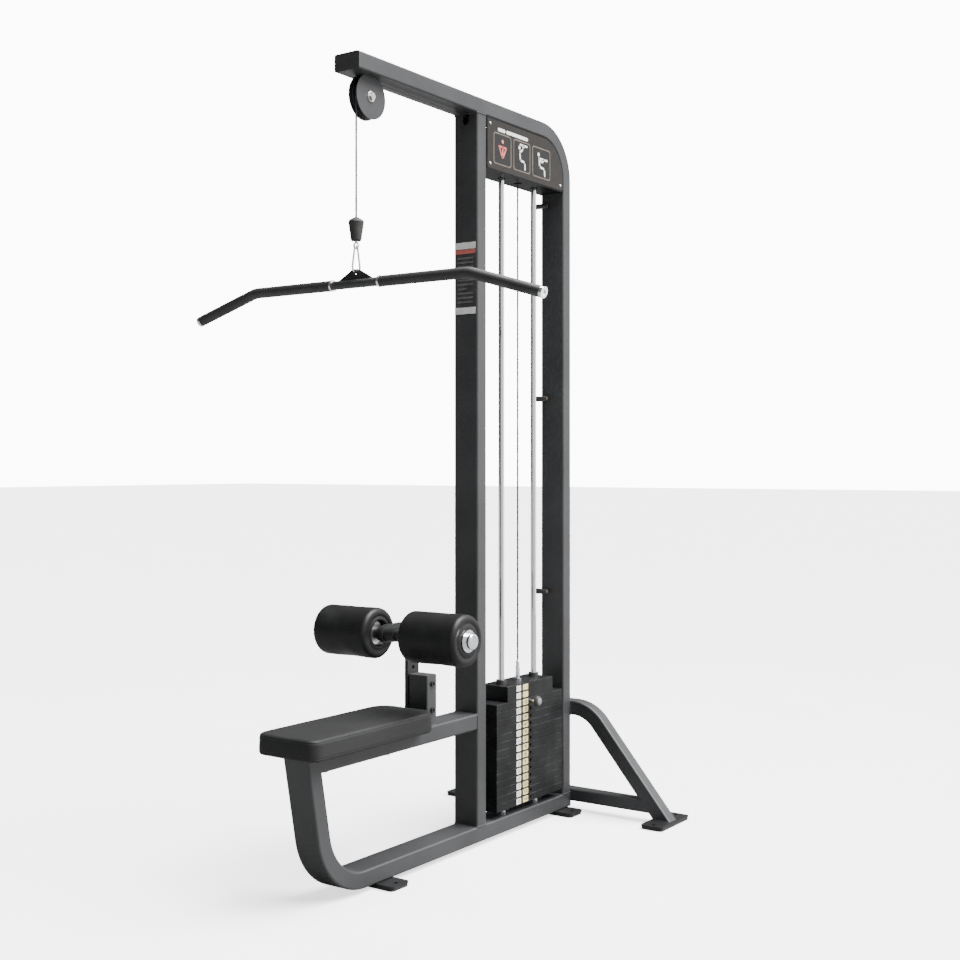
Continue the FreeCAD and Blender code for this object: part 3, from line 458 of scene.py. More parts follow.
# %% Seat vinyl and roller skin
def seat_vinyl():
    vinyl = Finish("grained_vinyl", specular_ior_level=0.22)
    valley = vinyl.step(vinyl.cells(620.0, "DISTANCE_TO_EDGE"), 0.0, 0.12)
    broad = vinyl.noise(9.0, 4.0)
    crease = vinyl.noise(1.0, 5.0, (28.0, 90.0, 90.0))
    body = vinyl.blend(broad, grey(0.0095, COOL), grey(0.014, COOL))
    vinyl.link("Base Color", vinyl.blend(valley, grey(0.014), body))
    vinyl.link("Roughness", 0.50 + 0.14 * broad - 0.08 * valley)
    return vinyl.bump(valley + 0.8 * crease, 0.30, 0.0005).material


def foam_skin():
    foam = Finish("roller_foam_skin", specular_ior_level=0.22)
    pores = foam.step(foam.cells(900.0), 0.04, 0.22)
    rubbed = foam.step(foam.noise(14.0, 5.0), 0.40, 0.75)
    foam.link("Base Color", foam.blend(rubbed, grey(0.006), grey(0.010, COOL)))
    foam.link("Roughness", 0.44 + 0.16 * rubbed)
    return foam.bump(pores + 0.8 * foam.noise(60.0, 3.0), 0.20, 0.0005).material


vinyl = seat_vinyl()
foam = foam_skin()
print("soft finishes:", vinyl.name, foam.name)


# %% [markdown]
# ## Dressing the CAD parts
# Each CAD part already has a material slot, so a better finish goes straight into it. The
# list below is also a good inventory of what the machine is made of.

# %% Finishes on the CAD parts
WARDROBE = {
    charcoal: ["base_rail", "front_upright", "mast_beam", "seat_tube", "rear_arch", "rear_crossbar",
               "front_pulley_cheeks", "roller_post", "lat_bar"],
    black_coat: ["foot_plate_front", "foot_plate_tower", "foot_plate_right", "foot_plate_left",
                 "rear_pulley_cheeks", "bar_bracket", "clamp_bolts", "shaft_collars", "roller_arm"],
    matte_coat: ["rod_top_plate", "shroud_right", "shroud_left", "shroud_floor"],
    plastic: ["beam_end_cap", "roller_post_cap", "guard_clips", "guide_bushings", "seat_board",
              "selector_knob"],
    nylon: ["front_pulley", "rear_pulley"],
    zinc: ["front_pulley_bearing", "rear_pulley_bearing", "pulley_axles", "seat_bolts",
           "roller_core_right", "roller_core_left"],
    turned_steel: ["selector_rod"],
    rubber: ["foot_pads", "stack_bumpers", "cable_stopper"],
    sleeve_rubber: ["bar_grips"],
    chrome: ["guide_rod_front", "guide_rod_rear", "rod_collars", "roller_shaft", "shaft_end_caps",
             "selector_pin", "cable_clevis", "swivel_eye", "pear_link", "bar_end_caps"],
    stack_finish: ["weight_plate_top", "lower_weight_plates", "head_block"],
    jacket: ["cable_run", "cable_front_drop", "cable_stack_drop"],
}
for finish, names in WARDROBE.items():
    for name in names:
        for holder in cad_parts[name].material_slots:
            holder.material = finish
bare = set(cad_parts) - {n for names in WARDROBE.values() for n in names}
print("parts dressed:", sum(len(n) for n in WARDROBE.values()), "left bare:", sorted(bare))


# %% [markdown]
# ## Building pieces from profiles
# Most of the small pieces are either turned, such as a roller, or run along a line, such as a
# weld bead or a seam. Two helpers cover them: one spins a profile round an axis, and one
# carries a round section along a closed or open path.

# %% Helpers for turned and run-along pieces
def add_piece(name, mesh, body, finish):
    """Puts a mesh in the scene as a piece that rides on a CAD body."""
    piece = bpy.data.objects.new(name, mesh)
    bpy.context.scene.collection.objects.link(piece)
    mesh.materials.append(finish)
    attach(piece, body)
    return piece


def finish_mesh(name, builder, smooth=True, weld=1e-6):
    """Turns a bmesh into a mesh with clean, outward normals."""
    bmesh.ops.remove_doubles(builder, verts=builder.verts, dist=weld)
    bmesh.ops.recalc_face_normals(builder, faces=builder.faces)
    for face in builder.faces:
        face.smooth = smooth
    mesh = bpy.data.meshes.new(name)
    builder.to_mesh(mesh)
    builder.free()
    return mesh


def spin_profile(builder, profile, centre, axis="X", steps=96):
    """Spins (along, radius) pairs round an axis; points at radius 0 close the ends."""
    rings = []
    for along, radius in profile:
        ring = []
        for k in range(steps):
            angle = 2 * math.pi * k / steps
            across, up = radius * math.cos(angle), radius * math.sin(angle)
            offset = {"X": (along, across, up), "Y": (across, along, up), "Z": (across, up, along)}[axis]
            ring.append(builder.verts.new(Vector(centre) + Vector(offset)))
        rings.append(ring)
    for first, second in zip(rings, rings[1:]):
        for k in range(steps):
            after = (k + 1) % steps
            builder.faces.new((first[k], first[after], second[after], second[k]))
    return rings


def run_along(builder, points, radius, sides=8, closed=True, width=None):
    """Carries a round section along points; width is a function of the distance run."""
    rings = []
    count = len(points)
    run = 0.0
    for index, point in enumerate(points):
        before = points[index - 1] if (closed or index) else point
        after = points[(index + 1) % count] if (closed or index < count - 1) else point
        along = (Vector(after) - Vector(before)).normalized()
        side = along.orthogonal() if abs(along.z) > 0.9 else along.cross(Vector((0, 0, 1)))
        side.normalize()
        up = side.cross(along).normalized()
        if index:
            run += (Vector(point) - Vector(points[index - 1])).length
        thick = radius * (width(run) if width else 1.0)
        ring = []
        for k in range(sides):
            angle = 2 * math.pi * k / sides
            ring.append(builder.verts.new(Vector(point) + side * thick * math.cos(angle)
                                          + up * thick * math.sin(angle)))
        rings.append(ring)
    pairs = list(zip(rings, rings[1:]))
    if closed:
        pairs.append((rings[-1], rings[0]))
    for first, second in pairs:
        for k in range(sides):
            after = (k + 1) % sides
            builder.faces.new((first[k], first[after], second[after], second[k]))
    if not closed:
        builder.faces.new(rings[0])
        builder.faces.new(rings[-1])


def rounded_outline(low, high, corners, steps=10):
    """Points round a rectangle whose four corners have their own radii."""
    places = [(high[0], high[1], 1, 1), (low[0], high[1], -1, 1), (low[0], low[1], -1, -1),
              (high[0], low[1], 1, -1)]
    points = []
    for quarter, ((x, y, sx, sy), radius) in enumerate(zip(places, corners)):
        for k in range(steps + 1):
            angle = math.radians(90 * quarter + 90 * k / steps)
            points.append((x - sx * radius + radius * math.cos(angle),
                           y - sy * radius + radius * math.sin(angle)))
    return points


def evenly(points, gap):
    """The same closed outline, with points about one gap apart."""
    spaced = []
    for a, b in zip(points, points[1:] + points[:1]):
        a, b = Vector(a), Vector(b)
        pieces = max(1, round((b - a).length / gap))
        spaced += [a.lerp(b, k / pieces) for k in range(pieces)]
    return spaced


print("helpers ready")


# %% [markdown]
# ## The seat
# The seat is a firm foam slab on a board, covered in vinyl. The cover is pulled down over the
# edge, so the top is slightly crowned, the sides are nearly straight and the lower edge tucks
# under the board. A cloth simulation with air pressure inside gives that swelling without
# drawing it by hand: the slab starts slightly small, its base is pinned, and the pressure
# fills it. A cap on how far it may swell keeps it a firm gym seat, not a sofa cushion.

# %% Seat slab before it is filled
seat_low, seat_high = (Vector(c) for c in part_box("seat_cushion"))
board_low, board_high = (Vector(c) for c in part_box("seat_board"))
FRONT_CORNER = 0.034
REAR_CORNER = 0.058


def seat_layers():
    """(height, inset) from the board's pocket, round the tucked-in base, to the flat top."""
    base, top, pocket = seat_low.z + 0.0006, seat_high.z - 0.0035, board_high.z + 0.0006
    return [(pocket, 0.030), (pocket, 0.0136), (base, 0.0134), (base, 0.0085), (base + 0.002, 0.0050),
            (base + 0.006, 0.0028), (base + 0.014, 0.0020), (top - 0.011, 0.0020),
            (top - 0.004, 0.0030), (top - 0.0010, 0.0065), (top, 0.014)]


def slab_mesh(name):
    slab = bmesh.new()
    rings = []
    for height, inset in seat_layers():
        corners = (REAR_CORNER, REAR_CORNER, FRONT_CORNER, FRONT_CORNER)
        outline = rounded_outline((seat_low.x + inset, seat_low.y + inset),
                                  (seat_high.x - inset, seat_high.y - inset),
                                  [c - inset for c in corners])
        rings.append([slab.verts.new((x, y, height)) for x, y in outline])
    for first, second in zip(rings, rings[1:]):
        for k in range(len(first)):
            after = (k + 1) % len(first)
            slab.faces.new((first[k], first[after], second[after], second[k]))
    slab.faces.new(rings[0])
    slab.faces.new(rings[-1])
    return finish_mesh(name, slab)


seat = add_piece("seat_cover", slab_mesh("seat_cover"), "frame", vinyl)
print("seat slab", [round(v, 3) for v in seat.dimensions])


# %% [markdown]
# Remeshing gives the cloth solver even squares to work on. The swollen shape is read back,
# and each point's move is capped, then averaged with its neighbours' so that firm foam shows
# no creases. One subdivision smooths the squares away.

# %% Fill the seat
def shaped(piece):
    """The mesh of a piece with its modifiers applied."""
    view = bpy.context.evaluated_depsgraph_get()
    return bpy.data.meshes.new_from_object(piece.evaluated_get(view))


def swap_mesh(piece, mesh):
    finish = piece.data.materials[0]
    piece.modifiers.clear()
    piece.data = mesh
    mesh.materials.clear()
    mesh.materials.append(finish)
    for face in mesh.polygons:
        face.use_smooth = True


CREASE_PASSES = 60


def smoothed(moves, mesh, passes):
    """Averages each point's move with its neighbours', which takes out small creases."""
    near = [[] for _ in moves]
    for edge in mesh.edges:
        first, second = edge.vertices
        near[first].append(second)
        near[second].append(first)
    for _ in range(passes):
        moves = [(move + sum((moves[n] for n in near[k]), Vector())) / (1 + len(near[k]))
                 for k, move in enumerate(moves)]
    return moves


def fill_with_air(piece, voxel, pressure, cap, pinned_below):
    """Swells a closed piece as cloth, then applies the result."""
    squares = piece.modifiers.new("squares", "REMESH")
    squares.mode = "VOXEL"
    squares.voxel_size = voxel
    swap_mesh(piece, shaped(piece))
    start = [v.co.copy() for v in piece.data.vertices]
    held = piece.vertex_groups.new(name="held")
    held.add([v.index for v in piece.data.vertices if v.co.z < pinned_below], 1.0, "REPLACE")
    cloth = piece.modifiers.new("air", "CLOTH")
    cloth.settings.vertex_group_mass = "held"
    cloth.settings.use_pressure = True
    cloth.settings.uniform_pressure_force = pressure
    cloth.settings.effector_weights.gravity = 0.0
    cloth.settings.quality = 6
    cloth.point_cache.frame_start = 1
    cloth.point_cache.frame_end = 20
    for step in range(1, 21):
        bpy.context.scene.frame_set(step)
    filled = shaped(piece)
    moves = [v.co - origin for v, origin in zip(filled.vertices, start)]
    moves = [move.normalized() * min(move.length, cap) for move in moves]
    for vertex, origin, move in zip(filled.vertices, start, smoothed(moves, filled, CREASE_PASSES)):
        vertex.co = origin + move
    bpy.context.scene.frame_set(1)
    swap_mesh(piece, filled)
    piece.vertex_groups.clear()
    finer = piece.modifiers.new("finer", "SUBSURF")
    finer.levels = finer.render_levels = 1
    swap_mesh(piece, shaped(piece))


SQUARE = 0.005
PRESSURE = 3.0
MOST_SWELL = 0.004
fill_with_air(seat, SQUARE, PRESSURE, MOST_SWELL, board_high.z + 0.002)
print("seat cover has", len(seat.data.vertices), "points")


# %% [markdown]
# The board sits in a pocket under the cover, so the filled cover is kept clear of the board
# and of the tube below. Its crown is shaped last: a smooth rise of a few millimetres along
# the middle, with a very shallow hollow near the rear where people sit, as a used seat has.

# %% Crown the seat and keep it in its place
def crown_seat(piece, rise):
    half_x = (seat_high.x - seat_low.x) / 2
    half_y = (seat_high.y - seat_low.y) / 2
    middle = (seat_low + seat_high) / 2
    for vertex in piece.data.vertices:
        across = min(1.0, abs(vertex.co.x - middle.x) / half_x)
        along = min(1.0, abs(vertex.co.y - middle.y) / half_y)
        height = max(0.0, (vertex.co.z - seat_low.z) / (seat_high.z - seat_low.z))
        swell = rise * (1 - across ** 2.4) * (1 - along ** 4) * height ** 4
        hollow = 0.0016 * math.exp(-((vertex.co.y - middle.y - 0.06) / 0.11) ** 2) * height ** 4
        vertex.co.z = max(vertex.co.z + swell - hollow * (1 - across ** 2), seat_low.z + 0.0003)
        over_board = (board_low.x < vertex.co.x < board_high.x and board_low.y < vertex.co.y < board_high.y)
        if over_board:
            vertex.co.z = max(vertex.co.z, board_high.z + 0.0003)


crown_seat(seat, 0.0035)
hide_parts("seat_cushion")
top = max(v.co.z for v in seat.data.vertices)
print("seat top at", round(top, 4), "m, CAD top at", round(seat_high.z, 4))


# %% [markdown]
# ### The seat's piping
# Top panel and side strip meet in a sewn seam just below the top edge. A thin cord lies in
# the cover surface there, with a row of stitches beside it. Each is placed by asking the
# finished cover for its surface, so they sit on the swollen shape.

# %% Piping and stitches
def on_cover(piece, height, gap):
    """Points round the cover at one height, found by looking inwards from outside."""
    middle = (seat_low + seat_high) / 2
    ring = rounded_outline((seat_low.x - 0.03, seat_low.y - 0.03), (seat_high.x + 0.03, seat_high.y + 0.03),
                           [REAR_CORNER + 0.03] * 2 + [FRONT_CORNER + 0.03] * 2, 14)
    found = []
    for x, y in evenly([(x, y) for x, y in ring], gap):
        inner = Vector((max(seat_low.x + 0.06, min(seat_high.x - 0.06, x)),
                        max(seat_low.y + 0.06, min(seat_high.y - 0.06, y)), height))
        start = Vector((x, y, height))
        hit, where, normal, _ = piece.ray_cast(start, (inner - start).normalized())
        if hit:
            found.append((where.copy(), normal.copy()))
    print("seam at", round(height - middle.z, 4), "above the middle:", len(found), "points")
    return found


seam_height = seat_high.z - 0.0085
seam = on_cover(seat, seam_height, 0.004)
piping = bmesh.new()
run_along(piping, [p - n * 0.0003 for p, n in seam], 0.0013, sides=8)
add_piece("seat_piping", finish_mesh("seat_piping", piping), "frame", vinyl)

low_seam = on_cover(seat, seat_low.z + 0.0075, 0.004)
tuck = bmesh.new()
run_along(tuck, [p - n * 0.0005 for p, n in low_seam], 0.0011, sides=8)
add_piece("seat_lower_piping", finish_mesh("seat_lower_piping", tuck), "frame", vinyl)


# %% [markdown]
# Stitches are tiny, but a long straight row of them is what tells the eye "sewn". Each stitch
# is a short leaning capsule, half sunk in the cover.

# %% Stitch row under the piping
def stitch_thread():
    thread = Finish("black_thread", roughness=0.6)
    twist = thread.noise(1400.0)
    thread.link("Base Color", thread.blend(twist, grey(0.035), grey(0.075)))
    return thread.bump(twist, 0.2, 0.0002).material


thread_finish = stitch_thread()
stitches = bmesh.new()
row = on_cover(seat, seam_height - 0.0042, 0.0035)
for (here, normal), (after, _) in list(zip(row, row[1:]))[::2]:
    lean = (after - here) * 0.36
    middle = (here + after) / 2 + normal * 0.00005
    run_along(stitches, [middle - lean, middle, middle + lean], 0.00042, sides=6, closed=False,
              width=lambda run: 1.0)
add_piece("seat_stitches", finish_mesh("seat_stitches", stitches), "frame", thread_finish)
print("stitches:", len(row) // 2)


# %% [markdown]
# ## The thigh rollers
# Each roller is a thick sleeve of moulded foam on a steel core. The skin is smooth, the end
# edges are well rounded, and a shallow groove runs round each end face where the mould
# parted. Spinning a profile gives all of that. Foam never runs perfectly true, so a little
# smooth noise moves the skin by part of a millimetre, and the thighs press a slight waist
# into it.

# %% Foam rollers
ROLLER_EDGE = 0.013
ROLLER_BORE = 0.0201
RECESS_DEPTH = 0.016


def roller_end(radius, recess_radius):
    """(depth, radius) on one end face, from the bore out to the skin."""
    groove = 0.050
    end = [(RECESS_DEPTH, ROLLER_BORE), (RECESS_DEPTH, recess_radius - 0.001), (0.003, recess_radius),
           (0.0006, recess_radius + 0.002), (0, recess_radius + 0.005), (0, groove - 0.003),
           (0.0016, groove - 0.0012), (0.0016, groove + 0.0012), (0, groove + 0.003)]
    for k in range(9):
        angle = math.radians(90 * k / 8)
        end.append((ROLLER_EDGE * (1 - math.cos(angle)), radius - ROLLER_EDGE * (1 - math.sin(angle))))
    return end


def roller_profile(low, high, radius, low_recess, high_recess):
    """(along, radius) from the bore on one end to the bore on the other."""
    reach = high - low - 2 * ROLLER_EDGE
    skin = [(low + ROLLER_EDGE + reach * k / 14, radius) for k in range(1, 14)]
    first = [(low + depth, r) for depth, r in roller_end(radius, low_recess)]
    last = [(high - depth, r) for depth, r in reversed(roller_end(radius, high_recess))]
    return first + skin + last


def foam_roller(side_name, body):
    low, high = (Vector(c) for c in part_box("roller_foam_" + side_name))
    centre = (low + high) / 2
    radius = (high.z - low.z) / 2
    core_low, core_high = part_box("roller_core_" + side_name)
    shape = bmesh.new()
    recesses = (0.036, 0.030) if centre.x > 0 else (0.030, 0.036)
    profile = roller_profile(low.x - centre.x, high.x - centre.x, radius, *recesses)
    spin_profile(shape, profile, centre, "X", 128)
    first = [v for v in shape.verts]
    for vertex in first:
        offset = vertex.co - centre
        out = Vector((0, offset.y, offset.z))
        if out.length > radius - 0.02:
            angle = math.atan2(offset.z, offset.y)
            wave = math.sin(3 * angle + 40 * offset.x) + math.sin(2 * angle - 65 * offset.x)
            waist = math.exp(-(offset.x / 0.045) ** 2)
            vertex.co -= out.normalized() * (0.00035 + 0.0003 * wave + 0.0009 * waist)
    mesh = finish_mesh("roller_foam_cover_" + side_name, shape)
    piece = add_piece("roller_foam_cover_" + side_name, mesh, body, foam)
    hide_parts("roller_foam_" + side_name)
    print(side_name, "roller radius", round(radius, 4), "core to", round(max(core_high[0], -core_low[0]), 4))
    return piece


rollers = [foam_roller("right", "roller_right"), foam_roller("left", "roller_left")]


# %% [markdown]
# ## Weld beads
# Every joint of the frame is welded, and the bead is what makes two tubes look like one
# structure. A bead is a rounded cord with ripples a few millimetres apart, left by each
# puddle of metal, and it is painted with the frame. A section carried round the joint, with a
# width that swings as it goes, gives the ripples.

# %% Weld helper
def ripple(run):
    return 1.0 + 0.16 * math.sin(run * 2 * math.pi / 0.0046)


def rounded_loop(plane, low, high, level, corner=0.006):
    """A rounded rectangle in a plane, such as XY at one height."""
    flat = evenly([Vector(p).to_3d() for p in rounded_outline(low, high, [corner] * 4, 4)], 0.0015)
    order = {"XY": lambda a, b: (a, b, level), "XZ": lambda a, b: (a, level, b)}[plane]
    return [order(p.x, p.y) for p in flat]


def weld_bead(name, loops, size=0.0021):
    """One painted piece made of closed beads."""
    beads = bmesh.new()
    for loop in loops:
        run_along(beads, loop, size, sides=6, width=ripple)
    mesh = finish_mesh(name, beads)
    print(name, "has", len(mesh.vertices), "points")
    return add_piece(name, mesh, "frame", charcoal)


# %% Frame welds
up_low, up_high = (Vector(c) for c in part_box("front_upright"))
mast_high = Vector(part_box("mast_beam")[1])
seat_tube_low, seat_tube_high = (Vector(c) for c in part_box("seat_tube"))
arch_low, arch_high = (Vector(c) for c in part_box("rear_arch"))
post_low, post_high = (Vector(c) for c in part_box("roller_post"))
rail_top = up_low.z
tube = up_high.y - up_low.y
mast_front = mast_high.y - tube

weld_bead("upright_welds", [
    rounded_loop("XY", (up_low.x, up_low.y), (up_high.x, up_high.y), rail_top),
    rounded_loop("XY", (up_low.x, up_low.y), (up_high.x, up_high.y), up_high.z)])
weld_bead("mast_weld", [
    rounded_loop("XY", (up_low.x, mast_front), (up_high.x, mast_high.y), rail_top)])
weld_bead("seat_tube_weld", [
    rounded_loop("XZ", (up_low.x, seat_tube_low.z), (up_high.x, seat_tube_high.z), up_low.y)])
weld_bead("arch_welds", [
    rounded_loop("XZ", (up_low.x, arch_high.z - 0.050), (up_high.x, arch_high.z), arch_low.y, 0.004)]
    + [rounded_loop("XY", (min(x, x - s * 0.065), arch_low.y), (max(x, x - s * 0.065), arch_high.y),
                    arch_low.z, 0.005)
       for s, x in ((1, arch_high.x), (-1, arch_low.x))], 0.0019)
weld_bead("post_weld", [
    rounded_loop("XY", (post_low.x, post_low.y), (post_high.x, post_high.y), post_low.z, 0.004)])


# %% [markdown]
# ## Flat labels
# Labels are printed on thin vinyl film. Each one is a rounded sheet a fraction of a millimetre
# thick, standing just off the paint, so it catches the light at its rim. One helper makes a
# rounded sheet on a side face or a front face; another turns numbers into mesh.

# %% Label helpers and their inks
def rounded_sheet(builder, facing, level, low, high, corner, thick=0.0003):
    """A thin rounded sheet. facing is X+ or Y-; low and high are its corners in that plane."""
    outline = rounded_outline(low, high, [corner] * 4, 6)
    if facing == "X+":
        front = [(level + thick, a, b) for a, b in outline]
        back = [(level, a, b) for a, b in outline]
    else:
        front = [(a, level - thick, b) for a, b in outline]
        back = [(a, level, b) for a, b in outline]
    top = [builder.verts.new(p) for p in front]
    base = [builder.verts.new(p) for p in back]
    builder.faces.new(top)
    builder.faces.new(base)
    for k in range(len(top)):
        after = (k + 1) % len(top)
        builder.faces.new((base[k], base[after], top[after], top[k]))


def figures(builder, words, centre, height, depth=0.0001):
    """Adds a number to a mesh, reading correctly from +X, its middle at centre."""
    curve = bpy.data.curves.new("figures", "FONT")
    curve.body = words
    curve.size = height
    curve.extrude = depth
    curve.align_x = "CENTER"
    curve.align_y = "CENTER"
    holder = bpy.data.objects.new("figures", curve)
    bpy.context.scene.collection.objects.link(holder)
    drawn = shaped(holder)
    turn = Matrix(((0, 0, 1), (1, 0, 0), (0, 1, 0))).to_4x4()
    drawn.transform(Matrix.Translation(centre) @ turn)
    builder.from_mesh(drawn)
    bpy.data.objects.remove(holder)
    bpy.data.meshes.remove(drawn)


def film(name, dark, light, rough=0.38):
    """Printed vinyl film: an even colour, slightly faded and rubbed in patches."""
    sheet = Finish(name, coat_weight=0.06, coat_roughness=0.2, specular_ior_level=0.2)
    fade = sheet.noise(45.0, 5.0)
    rub = sheet.step(sheet.noise(160.0, 4.0), 0.62, 0.74)
    tone = sheet.blend(sheet.step(fade, 0.3, 0.7), dark, light)
    sheet.link("Base Color", sheet.blend(rub * 0.12, tone, grey(0.10)))
    sheet.link("Roughness", rough + 0.14 * fade)
    return sheet.bump(fade, 0.05, 0.0002).material


white_film = film("white_film", (0.62, 0.61, 0.58, 1), (0.76, 0.75, 0.72, 1))
yellow_film = film("yellow_film", (0.55, 0.47, 0.24, 1), (0.72, 0.62, 0.34, 1))
red_film = film("red_film", (0.42, 0.10, 0.09, 1), (0.52, 0.16, 0.13, 1))
dark_film = film("dark_film", grey(0.035), grey(0.055))
brown_film = film("brown_film", (0.0080, 0.0066, 0.0054, 1), (0.0115, 0.0095, 0.0080, 1))
tan_film = film("tan_film", (0.10, 0.080, 0.064, 1), (0.14, 0.115, 0.092, 1))
ink = film("printed_ink", grey(0.004), grey(0.007), 0.5)
print("films:", white_film.name, yellow_film.name, red_film.name, brown_film.name)


# %% [markdown]
# ### Plate numbers
# Two columns of labels run up the side of the stack: a white one that counts the plates and a
# yellow one with the load in kilograms. The top plate and the head block rise with the user's
# pull, so their labels ride with them, and the others stay with the frame.

# %% Plate labels
plate_low, plate_high = (Vector(c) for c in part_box("weight_plate_top"))
head_low = Vector(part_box("head_block")[0])
stack_y = (plate_low.y + plate_high.y) / 2
side_x = plate_high.x
PITCH = (plate_high.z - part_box("lower_weight_plates")[0][2]) / 14
WHITE_Y = stack_y - 0.071
YELLOW_Y = stack_y - 0.031


def label_column(name, rows, body, width, centre_y, finish, words):
    """One column's labels as a sheet piece and a figures piece."""
    sheets = bmesh.new()
    numbers = bmesh.new()
    for row, middle in rows:
        low = (centre_y - width / 2, middle - 0.0093)
        high = (centre_y + width / 2, middle + 0.0093)
        rounded_sheet(sheets, "X+", side_x, low, high, 0.002)
        if row > 0:
            figures(numbers, words(row), (side_x + 0.00045, centre_y, middle), 0.0155)
    add_piece(name + "_labels", finish_mesh(name + "_labels", sheets, False), body, finish)
    add_piece(name + "_figures", finish_mesh(name + "_figures", numbers, False), body, ink)
    print(name, len(rows), "labels")


middles = {row: plate_high.z - (row - 0.5) * PITCH for row in range(1, 15)}
moving = [(1, middles[1]), (0, head_low.z + 0.0125), (0, head_low.z + 0.0365)]
resting = [(row, middles[row]) for row in range(2, 15)]
for prefix, rows, body in (("top", moving, "stack_carriage"), ("stack", resting, "frame")):
    label_column(prefix + "_count", rows, body, 0.026, WHITE_Y, white_film, lambda row: str(row))
    label_column(prefix + "_load", rows, body, 0.031, YELLOW_Y, yellow_film, lambda row: str(10 * row))


# %% [markdown]
# ### The head placard
# A brown-black printed sheet covers each side of the pulley housing. On it are three rounded
# boxes with a thin tan border that show how to sit and pull. The figures here are plain
# strokes: a round head, a trunk, legs and arms up to a bar.

# %% Placard sheet that follows the bend
shroud_low, shroud_high = (Vector(c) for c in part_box("shroud_right"))
INSET = 0.005
BEND = 0.125
CORNER = 0.010


def quarter_turn(centre, radius, first, step=15):
    """Points on a quarter circle that starts at an angle in degrees."""
    angles = [math.radians(first + turn) for turn in range(0, 91, step)]
    return [(centre[0] + radius * math.cos(a), centre[1] + radius * math.sin(a)) for a in angles]


def placard_outline():
    """(y, z) points inset from the housing's side, with the mast's bend at the rear top."""
    near, far = shroud_low.y + INSET, shroud_high.y - INSET
    foot, head = shroud_low.z + INSET, shroud_high.z - INSET
    bend_centre = (shroud_high.y - BEND, shroud_high.z - BEND)
    return (quarter_turn((near + CORNER, foot + CORNER), CORNER, 180)
            + quarter_turn((far - CORNER, foot + CORNER), CORNER, 270)
            + quarter_turn(bend_centre, BEND - INSET, 0, 5)
            + quarter_turn((near + CORNER, head - CORNER), CORNER, 90))


def side_sheet(name, outline, x, thick, finish, direction=1):
    sheet = bmesh.new()
    back = [sheet.verts.new((x, y, z)) for y, z in outline]
    front = [sheet.verts.new((x + direction * thick, y, z)) for y, z in outline]
    sheet.faces.new(back)
    sheet.faces.new(front)
    for k in range(len(back)):
        after = (k + 1) % len(back)
        sheet.faces.new((back[k], back[after], front[after], front[k]))
    return add_piece(name, finish_mesh(name, sheet, False), "frame", finish)


side_sheet("placard_right", placard_outline(), shroud_high.x, 0.0006, brown_film)
side_sheet("placard_left", placard_outline(), -shroud_high.x, 0.0006, brown_film, -1)
face_x = shroud_high.x + 0.0006
print("placard", len(placard_outline()), "corner points")


# %% [markdown]
# Each box is three sheets, one on another: border, dark field and drawing. A stroke is a thin
# rounded bar between two points, so a figure is just a list of joints in the box's own
# units, from 0 to 1.

# %% Pictogram boxes
BOXES = [(0.088, 0.190), (0.203, 0.303), (0.316, 0.428)]
BOX_LOW, BOX_HIGH = 2.154, 2.255
LIMB_WIDTH = 0.0070
HEAD_WIDTH = 0.0125
upright_face = up_low.y
SEATED = [[(0.36, 0.66), (0.40, 0.36)], [(0.40, 0.36), (0.66, 0.32)], [(0.66, 0.32), (0.68, 0.08)]]
ARMS_UP = [[(0.37, 0.64), (0.56, 0.78)], [(0.56, 0.78), (0.56, 0.92)], [(0.40, 0.92), (0.78, 0.92)]]
ARMS_DOWN = [[(0.37, 0.64), (0.54, 0.52)], [(0.54, 0.52), (0.62, 0.66)], [(0.44, 0.66), (0.80, 0.66)]]
BACK_VIEW = [[(0.50, 0.62), (0.50, 0.24)], [(0.30, 0.60), (0.70, 0.60)], [(0.32, 0.56), (0.46, 0.28)],
             [(0.68, 0.56), (0.54, 0.28)]]


def stroke(builder, start, end, width, x):
    """A flat bar with round ends, lying on the placard."""
    a, b = Vector(start), Vector(end)
    along = (b - a).normalized()
    heading = math.atan2(along.y, along.x)
    outline = []
    for middle, first in ((b, -90), (a, 90)):
        for k in range(7):
            angle = heading + math.radians(first + 30 * k)
            outline.append(middle + Vector((math.cos(angle), math.sin(angle))) * width / 2)
    front = [builder.verts.new((x + 0.0003, p.x, p.y)) for p in outline]
    builder.faces.new(front)
    back = [builder.verts.new((x, p.x, p.y)) for p in outline]
    for k in range(len(front)):
        after = (k + 1) % len(front)
        builder.faces.new((back[k], back[after], front[after], front[k]))


borders, fields, white_drawing, red_drawing = bmesh.new(), bmesh.new(), bmesh.new(), bmesh.new()
for index, (near, far) in enumerate(BOXES):
    y0, y1 = upright_face + near, upright_face + far
    rounded_sheet(borders, "X+", face_x, (y0, BOX_LOW), (y1, BOX_HIGH), 0.011)
    rounded_sheet(fields, "X+", face_x + 0.0003, (y0 + 0.004, BOX_LOW + 0.004),
                  (y1 - 0.004, BOX_HIGH - 0.004), 0.008)

    def spot(point):
        return (y0 + (y1 - y0) * point[0], BOX_LOW + (BOX_HIGH - BOX_LOW) * (0.04 + 0.90 * point[1]))

    drawing = red_drawing if index == 0 else white_drawing
    lines = BACK_VIEW if index == 0 else SEATED + (ARMS_UP if index == 1 else ARMS_DOWN)
    for start, end in lines:
        stroke(drawing, spot(start), spot(end), LIMB_WIDTH, face_x + 0.0006)
    head = spot((0.50, 0.80) if index == 0 else (0.34, 0.80))
    stroke(drawing, head, (head[0] + 0.0005, head[1]), HEAD_WIDTH, face_x + 0.0006)
for label, builder, finish in (("placard_borders", borders, tan_film), ("placard_fields", fields, ink),
                               ("placard_white_figures", white_drawing, white_film),
                               ("placard_red_figure", red_drawing, red_film)):
    add_piece(label, finish_mesh(label, builder, False), "frame", finish)

